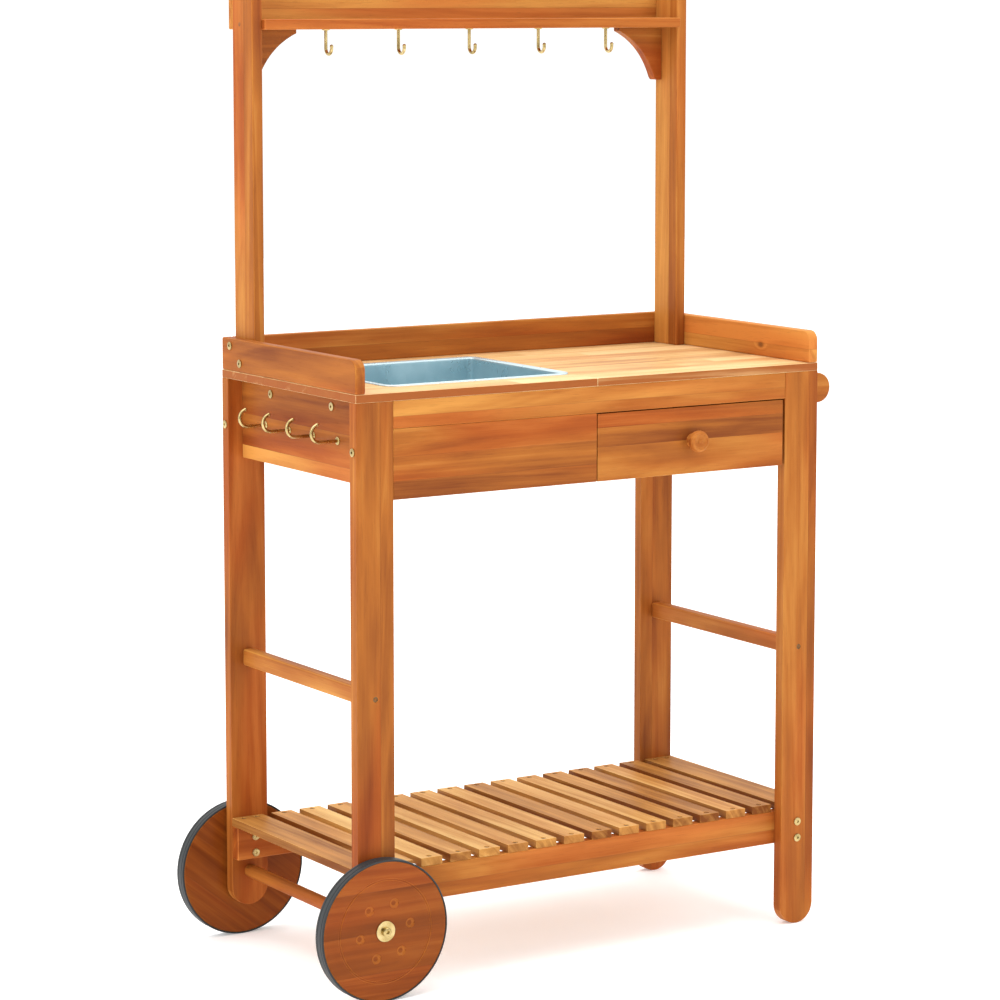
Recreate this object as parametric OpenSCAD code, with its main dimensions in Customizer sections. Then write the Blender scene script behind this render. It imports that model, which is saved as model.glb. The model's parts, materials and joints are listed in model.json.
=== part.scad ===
// Potting bench on two wheels: a plank frame with a worktop, a lift-out basin, a drawer,
// a slatted lower shelf, an upper shelf on two posts, hooks and a push handle.
// Millimetres. +X runs towards the handle, +Y towards the back, +Z up. The origin is on
// the ground, under the centre of the whole bench.

/* [Overall] */
// Width over the legs
body_w = 800; // [640:10:1000]
// Depth over the legs
body_d = 395; // [320:5:500]
// Height of the worktop's upper face
worktop_z = 859; // [760:1:960]
// Height of the post tops
total_h = 1415; // [1250:5:1600]

/* [Legs] */
// Width of a leg plank
leg_w = 60; // [45:1:80]
// Thickness of a leg plank
leg_t = 18; // [14:1:26]
// Height of the wheel-side legs' round ends above the ground
leg_lift = 50; // [30:1:70]

/* [Apron] */
// Height of the rail above the drawer
rail_h = 39; // [30:1:50]
// Height of the drawer front and of the panel beside it
drawer_front_h = 100; // [80:1:130]
// Height of the side and back aprons
apron_h = 119; // [100:1:135]
// Thickness of the side aprons
apron_t = 15; // [12:1:20]
// How far the side aprons stand back from the legs' outer edges
apron_inset = 23; // [15:1:30]
// Thickness of the partition beside the drawer
partition_t = 18; // [12:1:24]

/* [Worktop] */
// Thickness of the worktop panels
worktop_t = 12; // [10:1:18]
// Where the two worktop panels meet, from the middle of the frame
division_x = 2; // [-40:1:40]
// Height of the side boards and the backsplash above the worktop
gallery_h = 48; // [30:1:80]
// Thickness of the side boards
gallery_t = 16; // [12:1:22]
// Thickness of the backsplash and the upper back board
back_t = 12; // [9:1:18]
// Radius of the side boards' upper front corners
gallery_r = 15; // [5:1:25]

/* [Upper shelf] */
// Thickness of a post
post_t = 17; // [14:1:24]
// Depth of a post
post_d = 60; // [45:1:80]
// Radius of a post's upper front corner
post_r = 11; // [4:1:20]
// Thickness of the upper shelf
shelf_t = 15; // [12:1:22]
// How far the upper shelf stands out in front of the posts
shelf_nose = 8; // [0:1:20]
// Height of the upper back board
upper_back_h = 58; // [40:1:90]
// Reach of a bracket along the shelf
bracket_w = 80; // [60:1:100]
// Drop of a bracket down the post
bracket_h = 82; // [60:1:100]
// Thickness of a bracket
bracket_t = 17; // [12:1:20]

/* [Lower shelf] */
// Gap between the axle bar and the shelf rails above it
rail_gap = 12; // [8:1:40]
// Thickness of a slat
slat_t = 12; // [9:1:18]
// Width of a narrow slat
slat_w = 35; // [28:1:40]
// Width of the two end slats
end_slat_w = 52; // [40:1:60]
// Height of the shelf rails
shelf_rail_h = 50; // [40:1:60]
// Height of the stretchers' lower faces
stretcher_z = 416; // [330:1:520]
// Width of a stretcher
stretcher_w = 20; // [14:1:30]
// Height of a stretcher
stretcher_h = 25; // [18:1:40]

/* [Wheels] */
// Radius over the tyre
tyre_r = 102; // [92:1:112]
// Thickness of the tyre
tyre_t = 2.5; // [2:0.5:6]
// Width of a wheel
wheel_w = 20; // [16:1:26]
// Gap between a wheel and its leg
wheel_gap = 4.2; // [3:0.1:8]
// Radius of a wheel bolt's shank
axle_bolt_r = 4; // [3:0.5:5]
// Radius of the round axle bar between the legs
axle_bar_r = 10; // [8:0.5:14]

/* [Basin] */
// Gap between the basin's body and the left apron
basin_left_gap = 57; // [20:1:90]
// Gap between the basin's body and the partition
basin_right_gap = 3; // [2:1:20]
// Gap between the basin's body and the front panel
basin_front_gap = 52; // [20:1:80]
// Gap between the basin's body and the back apron
basin_back_gap = 49; // [20:1:80]
// Depth of the basin
basin_h = 118; // [80:1:125]
// Thickness of the basin's sheet
basin_t = 1.5; // [1:0.1:3]
// Width of the basin's rim beyond its body
basin_rim = 9; // [5:1:14]
// Thickness of the basin's rim
basin_rim_t = 2.5; // [1.5:0.5:4]
// Radius of the basin's upright corners
basin_r = 10; // [5:1:40]

/* [Drawer] */
// Thickness of the drawer front
drawer_front_t = 16; // [12:1:18]
// Thickness of the drawer's sides and back
drawer_side_t = 10; // [8:1:14]
// Height of the drawer's sides
drawer_side_h = 56; // [40:1:60]
// Thickness of the drawer's bottom
drawer_bottom_t = 4; // [3:1:6]
// Height and thickness of the drawer's runners
runner_h = 14; // [10:1:18]
// Radius of the knob
knob_r = 16; // [12:1:20]
// How far the knob stands out
knob_reach = 24; // [18:1:26]

/* [Handle] */
// How far the handle reaches past the legs
handle_reach = 38; // [30:1:60]
// Height of a handle arm
handle_arm_h = 45; // [38:1:50]
// Radius of the handle's round bar
handle_bar_r = 12; // [9:0.5:15]

/* [Hooks] */
// Radius of the hooks' wire
wire_r = 2.5; // [1.5:0.25:3]
// Distance of the first shelf hook from the post
shelf_hook_inset = 119; // [90:1:160]
// Distance of the first side hook from the leg
side_hook_inset = 73; // [40:1:90]

/* [Hidden] */
SLATS = 14;
SHELF_HOOKS = 5;
SIDE_HOOKS = 4;
function slat_name(i) = str("slat_", i < 10 ? "0" : "", i);

$fn = 64;
wood = "#c9803f";
pale_wood = "#dca468";
brass = "#d9b870";
steel = "#9fb2b8";
rubber = "#3a3d40";
fit = 0.05;       // radial play of a bolt in its hole
play = 0.3;       // gap beside a piece that turns or slides
eps = 0.01;       // overshoot of a cut

left_x = -body_w / 2;
right_x = body_w / 2;
front_y = -body_d / 2;
back_y = body_d / 2;
inner_y = body_d / 2 - leg_t;                 // inner faces of the legs, front and back
under_z = worktop_z - worktop_t;
leg_x = body_w / 2 - leg_w / 2;               // middle of a leg
apron_x = body_w / 2 - apron_inset;           // outer face of a side apron
apron_z = under_z - apron_h;
rail_z = under_z - rail_h;
panel_z = rail_z - drawer_front_h;
partition_shift = 1;                          // the partition stands right of the worktop joint
partition_x = division_x - partition_t / 2 + partition_shift;
rail_span = body_w / 2 - leg_w;               // the front rail and panel reach this far
panel_gap = 1;                                // joint beside the drawer front
handle_drop = 29;                             // from under the worktop to the handle bar's middle

post_x = body_w / 2 - gallery_t - post_t;     // inner face of a post
post_back_y = back_y - back_t;
post_front_y = post_back_y - post_d;
shelf_z = total_h - upper_back_h;
shelf_front_y = post_front_y - shelf_nose;
bracket_toe = 14;                             // width of a bracket's foot on the post
bracket_lip = 6;                              // height of a bracket's square end
bracket_sag = 7.5;                            // how hollow a bracket's curve is
bracket_nib = 3;                              // width of the slope at its lower end
bracket_screw_drop = 44;                      // from the shelf to the screw into the post
bracket_screw_seat = 20;                      // from the post to that screw's head

shelf_rail_z = tyre_r + axle_bar_r + rail_gap;
slat_bottom_z = shelf_rail_z + shelf_rail_h;
slat_z = slat_bottom_z + slat_t;              // upper faces of the slats
slat_span = body_w - 2 * end_slat_w;
slat_step = (slat_span - SLATS * slat_w) / (SLATS + 1) + slat_w;

axle_z = tyre_r;
axle_x = -leg_x;
disc_r = tyre_r - tyre_t;
bolt_grip = 45;                               // length of a wheel bolt inside the axle bar
bolt_head_r = 6.5;
bolt_head_h = 5;
washer_r = 15;
washer_t = 1.5;
washer_seat = 0.05;                           // gap between a washer and the bolt's head
wheel_side_y = body_d / 2 + wheel_gap;        // inner face of a wheel
dimple_r = 7;
dimple_depth = 3;
dimple_ball_r = (dimple_r * dimple_r + dimple_depth * dimple_depth) / (2 * dimple_depth);
dimple_circle = 41;
dimple_turn = 9;                              // angle of the first dimple
ring_r = 74;                                  // radius of the ring groove in a wheel's face
ring_groove_r = 2;                            // and of the cutter that makes it
ring_groove_out = 1;                          // the cutter's middle lies this far off the face

handle_x = right_x + handle_reach - handle_arm_h / 2;
handle_z = under_z - handle_drop;

mid_x = (axle_x - tyre_r + right_x + handle_reach) / 2;   // middle of the whole bench

basin_x0 = -apron_x + apron_t + basin_left_gap;
basin_x1 = partition_x - basin_right_gap;
basin_y0 = -inner_y + basin_front_gap;
basin_y1 = inner_y - basin_back_gap;
basin_w = basin_x1 - basin_x0;
basin_d = basin_y1 - basin_y0;
basin_clearance = 1.5;                        // gap between the basin and the cut-out

drawer_gap = 1.5;                             // gap above the drawer front
drawer_side_gap = 4;                          // gap between the drawer front and the right leg
drawer_x0 = division_x + panel_gap / 2;
drawer_x1 = rail_span - drawer_side_gap;
runner_w = 24;
runner_z = apron_z;
drawer_z = runner_z + runner_h + play;        // lower edges of the drawer's sides
drawer_front_back_y = front_y + drawer_front_t;
box_left_gap = 5;                             // between the partition and the drawer's side
box_right_gap = 8;                            // between the leg and the drawer's side
box_back_gap = 30;                            // behind the drawer
box_x0 = partition_x + partition_t + box_left_gap;
box_x1 = rail_span - box_right_gap;
box_l = inner_y - box_back_gap - drawer_front_back_y;   // length of the drawer's sides
groove = 3;                                   // depth of the groove that holds the bottom
bottom_lift = 5;                              // the bottom sits this far up the sides
bottom_z = drawer_z + bottom_lift;
knob_x = (drawer_x0 + drawer_x1) / 2;
knob_z = panel_z + (drawer_front_h - drawer_gap) / 2;
knob_foot_r = 10;
knob_neck_r = 7.5;
knob_neck_z = 7;                              // the knob is narrowest here
knob_rim_z = 17;                              // and widest here
knob_dish_r = 11.5;                           // the face is dished inside this radius
knob_dish_depth = 2.5;
knob_button_r = 4;                            // a small round button stands in the dish
knob_button_h = 1.5;
knob_screw_l = 14;                            // length of the screw inside the knob
knob_screw_head_h = 2;

screw_r = 2;
screw_head_r = 4;
screw_head_h = 2.5;
screw_proud = 0.2;                            // how far a screw's head stands out
bolt_r = 3;
bolt_cap_r = 6;
bolt_cap_h = 2;
cap_socket_r = 2.2;                           // hexagonal socket in a cap screw's head
cap_socket_depth = 1.2;
frame_bolt_z = [shelf_rail_z + 9.5, shelf_rail_z + 34.5];
slat_screw_l = 30;
end_screw_inset = 15;                         // of an end slat's screws from its edges
joint_screw_l = 40;                           // of the screws through the legs
leg_screw_rise = 50;                          // of a leg's side screw above the apron's lower edge
apron_screw_l = 14;
apron_screw_drop = 16;                        // of an apron's screws below the worktop
post_screw_l = 28;
post_screws = [[post_d - 14, 37], [16, 13]];  // from the post's front lower corner, y and z
shelf_screw_l = 45;
shelf_screw_inset = 22;                       // of a shelf screw from the back board
bracket_screw_l = 32;
bracket_screw_y = post_back_y - bracket_t / 2;
bracket_screw_z = shelf_z - bracket_screw_drop;

module place() {
    translate([-mid_x, 0, 0]) children();
}

// A box from one corner to the other
module plank(a, b) {
    translate(a) cube([b[0] - a[0], b[1] - a[1], b[2] - a[2]]);
}

// A flat outline in X and Z, made y0 to y1 thick
module upright(y0, y1) {
    translate([0, y1, 0]) rotate([90, 0, 0]) linear_extrude(y1 - y0) children();
}

// A round bar along Y
module bar_y(x, z, r, y0, y1) {
    translate([x, y1, z]) rotate([90, 0, 0]) cylinder(h = y1 - y0, r = r);
}

module rounded_rect(w, d, r) {
    translate([r, 0]) square([w - 2 * r, d]);
    translate([0, r]) square([w, d - 2 * r]);
    for (x = [r, w - r], y = [r, d - r]) translate([x, y]) circle(r);
}

// The frame is the same at both ends: side -1 is the wheel side, 1 the handle side;
// face -1 is the front, 1 the back.

/* ---- legs and apron ---- */

module leg(side, face) {
    foot_z = side < 0 ? leg_lift : 0;
    y0 = face < 0 ? front_y : inner_y;
    color(wood) difference() {
        upright(y0, y0 + leg_t) {
            translate([side * leg_x, foot_z + leg_w / 2]) circle(leg_w / 2);
            translate([side * leg_x - leg_w / 2, foot_z + leg_w / 2])
                square([leg_w, under_z - foot_z - leg_w / 2]);
        }
        for (z = frame_bolt_z) bar_y(side * leg_x, z, bolt_r + fit, y0 - eps, y0 + leg_t + eps);
        if (side < 0) bar_y(axle_x, axle_z, axle_bolt_r + fit, y0 - eps, y0 + leg_t + eps);
    }
}

module side_apron(side) {
    x0 = side < 0 ? -apron_x : apron_x - apron_t;
    color(wood) plank([x0, -inner_y, apron_z], [x0 + apron_t, inner_y, under_z]);
}

module back_apron() {
    color(wood) plank([-rail_span, inner_y, apron_z], [rail_span, back_y, under_z]);
}

module front_top_rail() {
    color(wood) plank([-rail_span, front_y, rail_z], [rail_span, -inner_y, under_z]);
}

module front_panel() {
    color(wood) plank([-rail_span, front_y, panel_z], [division_x - panel_gap / 2, -inner_y, rail_z]);
}

module partition() {
    color(wood)
        plank([partition_x, -inner_y, apron_z], [partition_x + partition_t, inner_y, under_z]);
}

/* ---- worktop ---- */

module worktop_left() {
    color(pale_wood) difference() {
        plank([left_x, front_y, under_z], [division_x, back_y, worktop_z]);
        translate([basin_x0 - basin_clearance, basin_y0 - basin_clearance, under_z - eps])
            linear_extrude(worktop_t + 2 * eps)
                rounded_rect(basin_w + 2 * basin_clearance, basin_d + 2 * basin_clearance,
                             basin_r + basin_clearance);
    }
}

module worktop_right() {
    color(pale_wood) plank([division_x, front_y, under_z], [right_x, back_y, worktop_z]);
}

// A rectangle in Y and Z whose upper front corner is round, x0 to x1 thick
module round_nosed(x0, x1, y0, y1, z0, z1, r) {
    translate([x0, 0, 0]) rotate([90, 0, 90]) linear_extrude(x1 - x0) {
        translate([y0, z0]) square([y1 - y0, z1 - z0 - r]);
        translate([y0 + r, z0]) square([y1 - y0 - r, z1 - z0]);
        translate([y0 + r, z1 - r]) circle(r);
    }
}

module gallery(side) {
    x0 = side < 0 ? left_x : right_x - gallery_t;
    color(wood)
        round_nosed(x0, x0 + gallery_t, front_y, back_y, worktop_z, worktop_z + gallery_h, gallery_r);
}

module backsplash() {
    color(wood)
        plank([left_x + gallery_t, post_back_y, worktop_z],
              [right_x - gallery_t, back_y, worktop_z + gallery_h]);
}

/* ---- posts and upper shelf ---- */

module post(side) {
    x0 = side < 0 ? -post_x - post_t : post_x;
    color(wood)
        round_nosed(x0, x0 + post_t, post_front_y, post_back_y, worktop_z, total_h, post_r);
}

module upper_shelf() {
    color(wood) plank([-post_x, shelf_front_y, shelf_z], [post_x, post_back_y, shelf_z + shelf_t]);
}

module upper_back_board() {
    color(wood)
        plank([-post_x - post_t, post_back_y, shelf_z], [post_x + post_t, back_y, total_h]);
}

// The hollow edge runs from the square end under the shelf to the foot on the post.
function bracket_edge(t) =
    let (u = bracket_w + t * (bracket_toe - bracket_w))
    let (w = bracket_lip + t * (bracket_h - bracket_nib - 1 - bracket_lip))
    [u - bracket_sag * 4 * t * (1 - t), -w + bracket_sag * 4 * t * (1 - t)];

module brackets() {
    for (side = [-1, 1])
        color(wood) difference() {
            upright(post_back_y - bracket_t, post_back_y)
                translate([side * post_x, shelf_z]) mirror([side > 0 ? 1 : 0, 0])
                    polygon(concat(
                        [[0, 0], [bracket_w, 0]],
                        [for (i = [0:12]) bracket_edge(i / 12)],
                        [[bracket_toe - bracket_nib, -bracket_h], [0, -bracket_h]]));
            translate([side * (post_x - bracket_screw_seat), bracket_screw_y, bracket_screw_z])
                rotate([0, -90 * side, 0]) cylinder(h = bracket_w, r = screw_head_r + fit);
        }
}

/* ---- lower shelf ---- */

module stretcher(side) {
    x0 = side * leg_x - stretcher_w / 2;
    color(wood)
        plank([x0, -inner_y, stretcher_z], [x0 + stretcher_w, inner_y, stretcher_z + stretcher_h]);
}

module shelf_rail(face) {
    y0 = face < 0 ? -inner_y : inner_y - leg_t;
    color(wood) difference() {
        plank([left_x, y0, shelf_rail_z], [right_x, y0 + leg_t, slat_bottom_z]);
        for (side = [-1, 1], z = frame_bolt_z)
            bar_y(side * leg_x, z, bolt_r + fit, y0 - eps, y0 + leg_t + eps);
    }
}

module end_slat(side) {
    x0 = side < 0 ? left_x : right_x - end_slat_w;
    color(wood) plank([x0, -inner_y, slat_bottom_z], [x0 + end_slat_w, inner_y, slat_z]);
}

function slat_x(i) = (i - (SLATS + 1) / 2) * slat_step;

module slat(i) {
    x = slat_x(i);
    color(wood)
        plank([x - slat_w / 2, -inner_y, slat_bottom_z], [x + slat_w / 2, inner_y, slat_z]);
}

/* ---- wheels ---- */

module axle_bar() {
    color(wood) difference() {
        bar_y(axle_x, axle_z, axle_bar_r, -inner_y, inner_y);
        for (face = [-1, 1])
            bar_y(axle_x, axle_z, axle_bolt_r + fit,
                  face < 0 ? -inner_y - eps : inner_y - bolt_grip,
                  face < 0 ? -inner_y + bolt_grip : inner_y + eps);
    }
}

// A disc about the axle, from distance d0 to d1 beyond the middle of the bench
module on_axle(face, r, d0, d1) {
    bar_y(axle_x, axle_z, r, face < 0 ? -d1 : d0, face < 0 ? -d0 : d1);
}

module wheel_bolts() {
    outer = wheel_side_y + wheel_w + play;
    seat = outer + washer_t + washer_seat;
    color(brass) for (face = [-1, 1]) {
        difference() {
            union() {
                on_axle(face, axle_bolt_r, inner_y - bolt_grip, seat + eps);
                on_axle(face, bolt_head_r, seat, seat + bolt_head_h);
            }
            socket(face, seat + bolt_head_h);
        }
        difference() {
            on_axle(face, washer_r, outer, outer + washer_t);
            on_axle(face, axle_bolt_r + fit, outer - eps, outer + washer_t + eps);
        }
        difference() {
            on_axle(face, washer_r, body_d / 2, wheel_side_y - play);
            on_axle(face, axle_bolt_r + fit, body_d / 2 - eps, wheel_side_y - play + eps);
        }
    }
}

// Hexagonal socket in a bolt's head
module socket(face, end_d) {
    depth = 3;
    translate([axle_x, face * (end_d - (face < 0 ? depth : -eps)), axle_z])
        rotate([90, 0, 0]) cylinder(h = depth + eps, r = 3, $fn = 6);
}

module wheel(face) {
    color(wood) difference() {
        on_axle(face, disc_r, wheel_side_y, wheel_side_y + wheel_w);
        on_axle(face, axle_bolt_r + fit, wheel_side_y - eps, wheel_side_y + wheel_w + eps);
        for (i = [0:5])
            translate([axle_x + dimple_circle * cos(dimple_turn + 60 * i),
                       face * (wheel_side_y + wheel_w + dimple_ball_r - dimple_depth),
                       axle_z + dimple_circle * sin(dimple_turn + 60 * i)])
                sphere(dimple_ball_r);
        translate([axle_x, face * (wheel_side_y + wheel_w + ring_groove_out), axle_z]) rotate([90, 0, 0])
            rotate_extrude() translate([ring_r, 0]) circle(ring_groove_r, $fn = 24);
    }
}

module tyre(face) {
    color(rubber) difference() {
        on_axle(face, tyre_r, wheel_side_y, wheel_side_y + wheel_w);
        on_axle(face, disc_r, wheel_side_y - eps, wheel_side_y + wheel_w + eps);
    }
}

/* ---- handle ---- */

module handle_arms() {
    r = handle_arm_h / 2;
    color(wood) for (y0 = [-inner_y, inner_y - leg_t])
        upright(y0, y0 + leg_t) {
            translate([handle_x, handle_z]) circle(r);
            translate([apron_x, handle_z - r]) square([handle_x - apron_x, handle_arm_h]);
        }
}

module handle_bar() {
    color(wood) bar_y(handle_x, handle_z, handle_bar_r, -inner_y + leg_t, inner_y - leg_t);
}

/* ---- drawer ---- */

module drawer_runners() {
    color(wood) {
        plank([partition_x + partition_t, -inner_y, runner_z],
              [partition_x + partition_t + runner_w, inner_y, runner_z + runner_h]);
        plank([box_x1 - drawer_side_t, -inner_y + 2, runner_z],
              [apron_x - apron_t, inner_y, runner_z + runner_h]);
    }
}

module drawer_front() {
    color(wood) difference() {
        plank([drawer_x0, front_y, panel_z],
              [drawer_x1, drawer_front_back_y, rail_z - drawer_gap]);
        bar_y(knob_x, knob_z, screw_r + fit, front_y - eps, drawer_front_back_y + eps);
    }
}

module drawer_sides() {
    y1 = drawer_front_back_y + box_l;
    color(pale_wood) difference() {
        for (x0 = [box_x0, box_x1 - drawer_side_t])
            plank([x0, drawer_front_back_y, drawer_z], [x0 + drawer_side_t, y1, drawer_z + drawer_side_h]);
        plank([box_x0 + drawer_side_t - groove, drawer_front_back_y - eps, bottom_z],
              [box_x1 - drawer_side_t + groove, y1 + eps, bottom_z + drawer_bottom_t]);
    }
}

module drawer_back() {
    y1 = drawer_front_back_y + box_l;
    color(pale_wood)
        plank([box_x0 + drawer_side_t, y1 - drawer_side_t, bottom_z + drawer_bottom_t],
              [box_x1 - drawer_side_t, y1, drawer_z + drawer_side_h]);
}

module drawer_bottom() {
    color(pale_wood)
        plank([box_x0 + drawer_side_t - groove, drawer_front_back_y, bottom_z],
              [box_x1 - drawer_side_t + groove, drawer_front_back_y + box_l, bottom_z + drawer_bottom_t]);
}

// The knob is turned: a neck that widens into a round disc with a dished face
module drawer_knob() {
    color(wood) difference() {
        translate([knob_x, front_y, knob_z]) rotate([90, 0, 0]) rotate_extrude()
            polygon(concat(
                [[0, 0], [knob_foot_r, 0]],
                [for (a = [0:15:90])
                    [knob_neck_r + (knob_foot_r - knob_neck_r) * cos(a), 1 + (knob_neck_z - 1) * sin(a)]],
                [for (a = [15:15:90])
                    [knob_neck_r + (knob_r - knob_neck_r) * sin(a),
                     knob_rim_z - (knob_rim_z - knob_neck_z) * cos(a)]],
                [for (a = [10:10:90])
                    [knob_dish_r + (knob_r - knob_dish_r) * cos(a),
                     knob_rim_z + (knob_reach - knob_rim_z) * sin(a)]],
                [for (a = [15:15:90])
                    [knob_button_r + (knob_dish_r - knob_button_r) * cos(a),
                     knob_reach - knob_dish_depth * sin(a)]],
                [for (a = [15:15:90])
                    [knob_button_r * cos(a), knob_reach - knob_dish_depth + knob_button_h * sin(a)]]));
        bar_y(knob_x, knob_z, screw_r + fit, front_y - knob_screw_l, front_y + eps);
    }
}

module knob_screw() {
    color(brass) {
        bar_y(knob_x, knob_z, screw_r, front_y - knob_screw_l, drawer_front_back_y);
        bar_y(knob_x, knob_z, screw_head_r, drawer_front_back_y, drawer_front_back_y + knob_screw_head_h);
    }
}

/* ---- basin ---- */

module basin() {
    color(steel) {
        difference() {
            union() {
                translate([basin_x0, basin_y0, worktop_z + basin_rim_t - basin_h])
                    linear_extrude(basin_h) rounded_rect(basin_w, basin_d, basin_r);
                translate([basin_x0 - basin_rim, basin_y0 - basin_rim, worktop_z])
                    linear_extrude(basin_rim_t)
                        rounded_rect(basin_w + 2 * basin_rim, basin_d + 2 * basin_rim,
                                     basin_r + basin_rim);
            }
            translate([basin_x0 + basin_t, basin_y0 + basin_t,
                       worktop_z + basin_rim_t - basin_h + basin_t])
                linear_extrude(basin_h)
                    rounded_rect(basin_w - 2 * basin_t, basin_d - 2 * basin_t, basin_r - basin_t);
        }
    }
}

/* ---- hooks ---- */

collar_r = 6;
collar_t = 2;
hook_tip = 3;                                 // straight length before a hook's ball end
shelf_hook_bend = 8.5;                        // radius of the wire's middle line
shelf_hook_drop = 28;
shelf_hook_y = post_back_y - 35.5;
side_hook_bend = 12.5;
side_hook_turn = 165;                         // how far round the wire is bent
side_hook_reach = 30;
side_hook_z = worktop_z - 75;

function spread(i, n, span, inset) = -span / 2 + inset + i * (span - 2 * inset) / (n - 1);

module shelf_hook() {
    z = shelf_z - shelf_hook_drop;
    translate([0, 0, z]) cylinder(h = shelf_hook_drop - collar_t + eps, r = wire_r, $fn = 24);
    translate([0, 0, shelf_z - collar_t]) cylinder(h = collar_t, r = collar_r);
    translate([0, -shelf_hook_bend, z]) rotate([90, 0, -90]) rotate([0, 0, 180])
        rotate_extrude(angle = 180, $fn = 48)
            translate([shelf_hook_bend, 0]) circle(wire_r, $fn = 24);
    translate([0, -2 * shelf_hook_bend, z - eps]) cylinder(h = hook_tip, r = wire_r, $fn = 24);
    translate([0, -2 * shelf_hook_bend, z + hook_tip - eps]) sphere(wire_r + 0.3, $fn = 24);
}

module shelf_hooks() {
    color(brass) for (i = [0:SHELF_HOOKS - 1])
        translate([spread(i, SHELF_HOOKS, 2 * post_x, shelf_hook_inset), shelf_hook_y, 0]) shelf_hook();
}

module side_hook() {
    x = -apron_x - side_hook_reach;
    z = side_hook_z + side_hook_bend;
    end = 270 - side_hook_turn;
    translate([x, 0, side_hook_z]) rotate([0, 90, 0])
        cylinder(h = side_hook_reach - collar_t + eps, r = wire_r, $fn = 24);
    translate([-apron_x - collar_t, 0, side_hook_z]) rotate([0, 90, 0])
        cylinder(h = collar_t, r = collar_r);
    translate([x, 0, z]) rotate([-90, 0, 0]) rotate([0, 0, 90])
        rotate_extrude(angle = side_hook_turn, $fn = 48)
            translate([side_hook_bend, 0]) circle(wire_r, $fn = 24);
    translate([x + side_hook_bend * cos(end), 0, z + side_hook_bend * sin(end)])
        sphere(wire_r + 0.3, $fn = 24);
}

module side_hooks() {
    color(brass) for (i = [0:SIDE_HOOKS - 1])
        translate([0, spread(i, SIDE_HOOKS, 2 * inner_y, side_hook_inset), 0]) side_hook();
}

/* ---- fasteners ---- */

// Rail bolts: a shank through leg and rail with a round cap at each end
module frame_bolts() {
    color(brass) for (side = [-1, 1], face = [-1, 1], z = frame_bolt_z) {
        y0 = face < 0 ? front_y : inner_y - leg_t;
        bar_y(side * leg_x, z, bolt_r, y0 - eps, y0 + 2 * leg_t + eps);
        bar_y(side * leg_x, z, bolt_cap_r, y0 - bolt_cap_h, y0);
        bar_y(side * leg_x, z, bolt_cap_r, y0 + 2 * leg_t, y0 + 2 * leg_t + bolt_cap_h);
    }
}

// A countersunk wood screw: its head is at the origin and it runs down
module wood_screw(l) {
    translate([0, 0, screw_proud - screw_head_h])
        cylinder(h = screw_head_h, r1 = screw_r, r2 = screw_head_r, $fn = 24);
    translate([0, 0, -l]) cylinder(h = l - screw_head_h + screw_proud + eps, r = screw_r, $fn = 24);
}

// A screw with a flat round cap that stays outside the wood
module cap_screw(l) {
    difference() {
        cylinder(h = bolt_cap_h, r = bolt_cap_r);
        translate([0, 0, bolt_cap_h - cap_socket_depth])
            cylinder(h = cap_socket_depth + eps, r = cap_socket_r, $fn = 6);
    }
    translate([0, 0, -l]) cylinder(h = l + eps, r = screw_r, $fn = 24);
}

module wood_screws() {
    rail_y = inner_y - leg_t / 2;
    color(brass) {
        for (i = [1:SLATS], face = [-1, 1])
            translate([slat_x(i), face * rail_y, slat_z]) wood_screw(slat_screw_l);
        for (side = [-1, 1], face = [-1, 1]) {
            for (x = [end_screw_inset, end_slat_w - end_screw_inset])
                translate([side * (body_w / 2 - x), face * rail_y, slat_z]) wood_screw(slat_screw_l);
            translate([side * leg_x, face * body_d / 2, stretcher_z + stretcher_h / 2])
                rotate([-90 * face, 0, 0]) wood_screw(joint_screw_l);
            translate([side * body_w / 2, face * (body_d / 2 - leg_t / 2), apron_z + leg_screw_rise])
                rotate([0, 90 * side, 0]) cap_screw(joint_screw_l);
            translate([side * apron_x, face * inner_y / 2, under_z - apron_screw_drop])
                rotate([0, 90 * side, 0]) cap_screw(apron_screw_l);
        }
        for (side = [-1, 1]) {
            for (p = post_screws)
                translate([side * body_w / 2, post_front_y + p[0], worktop_z + p[1]])
                    rotate([0, 90 * side, 0]) cap_screw(post_screw_l);
            translate([side * (post_x + post_t), post_back_y - shelf_screw_inset, shelf_z + shelf_t / 2])
                rotate([0, 90 * side, 0]) wood_screw(shelf_screw_l);
            translate([side * (post_x - bracket_screw_seat), bracket_screw_y, bracket_screw_z])
                rotate([0, -90 * side, 0]) wood_screw(bracket_screw_l);
        }
    }
}

/* ---- the nodes ---- */

place() leg(-1, -1);  // leg_front_left
place() leg(-1, 1);  // leg_back_left
place() leg(1, -1);  // leg_front_right
place() leg(1, 1);  // leg_back_right
place() side_apron(-1);  // apron_left
place() side_apron(1);  // apron_right
place() back_apron();  // apron_back
place() front_top_rail();
place() front_panel();
place() partition();
place() worktop_left();
place() worktop_right();
place() gallery(-1);  // gallery_left
place() gallery(1);  // gallery_right
place() backsplash();
place() post(-1);  // post_left
place() post(1);  // post_right
place() upper_shelf();
place() upper_back_board();
place() brackets();
place() stretcher(-1);  // stretcher_left
place() stretcher(1);  // stretcher_right
place() shelf_rail(-1);  // shelf_rail_front
place() shelf_rail(1);  // shelf_rail_back
place() end_slat(-1);  // end_slat_left
place() end_slat(1);  // end_slat_right
for (i = [1:SLATS]) place() slat(i);
place() axle_bar();
place() wheel_bolts();
place() wheel(-1);  // wheel_front
place() wheel(1);  // wheel_back
place() tyre(-1);  // tyre_front
place() tyre(1);  // tyre_back
place() handle_arms();
place() handle_bar();
place() drawer_runners();
place() drawer_front();
place() drawer_sides();
place() drawer_back();
place() drawer_bottom();
place() drawer_knob();
place() knob_screw();
place() basin();
place() shelf_hooks();
place() side_hooks();
place() frame_bolts();
place() wood_screws();
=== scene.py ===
import json
import math
import random

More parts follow.
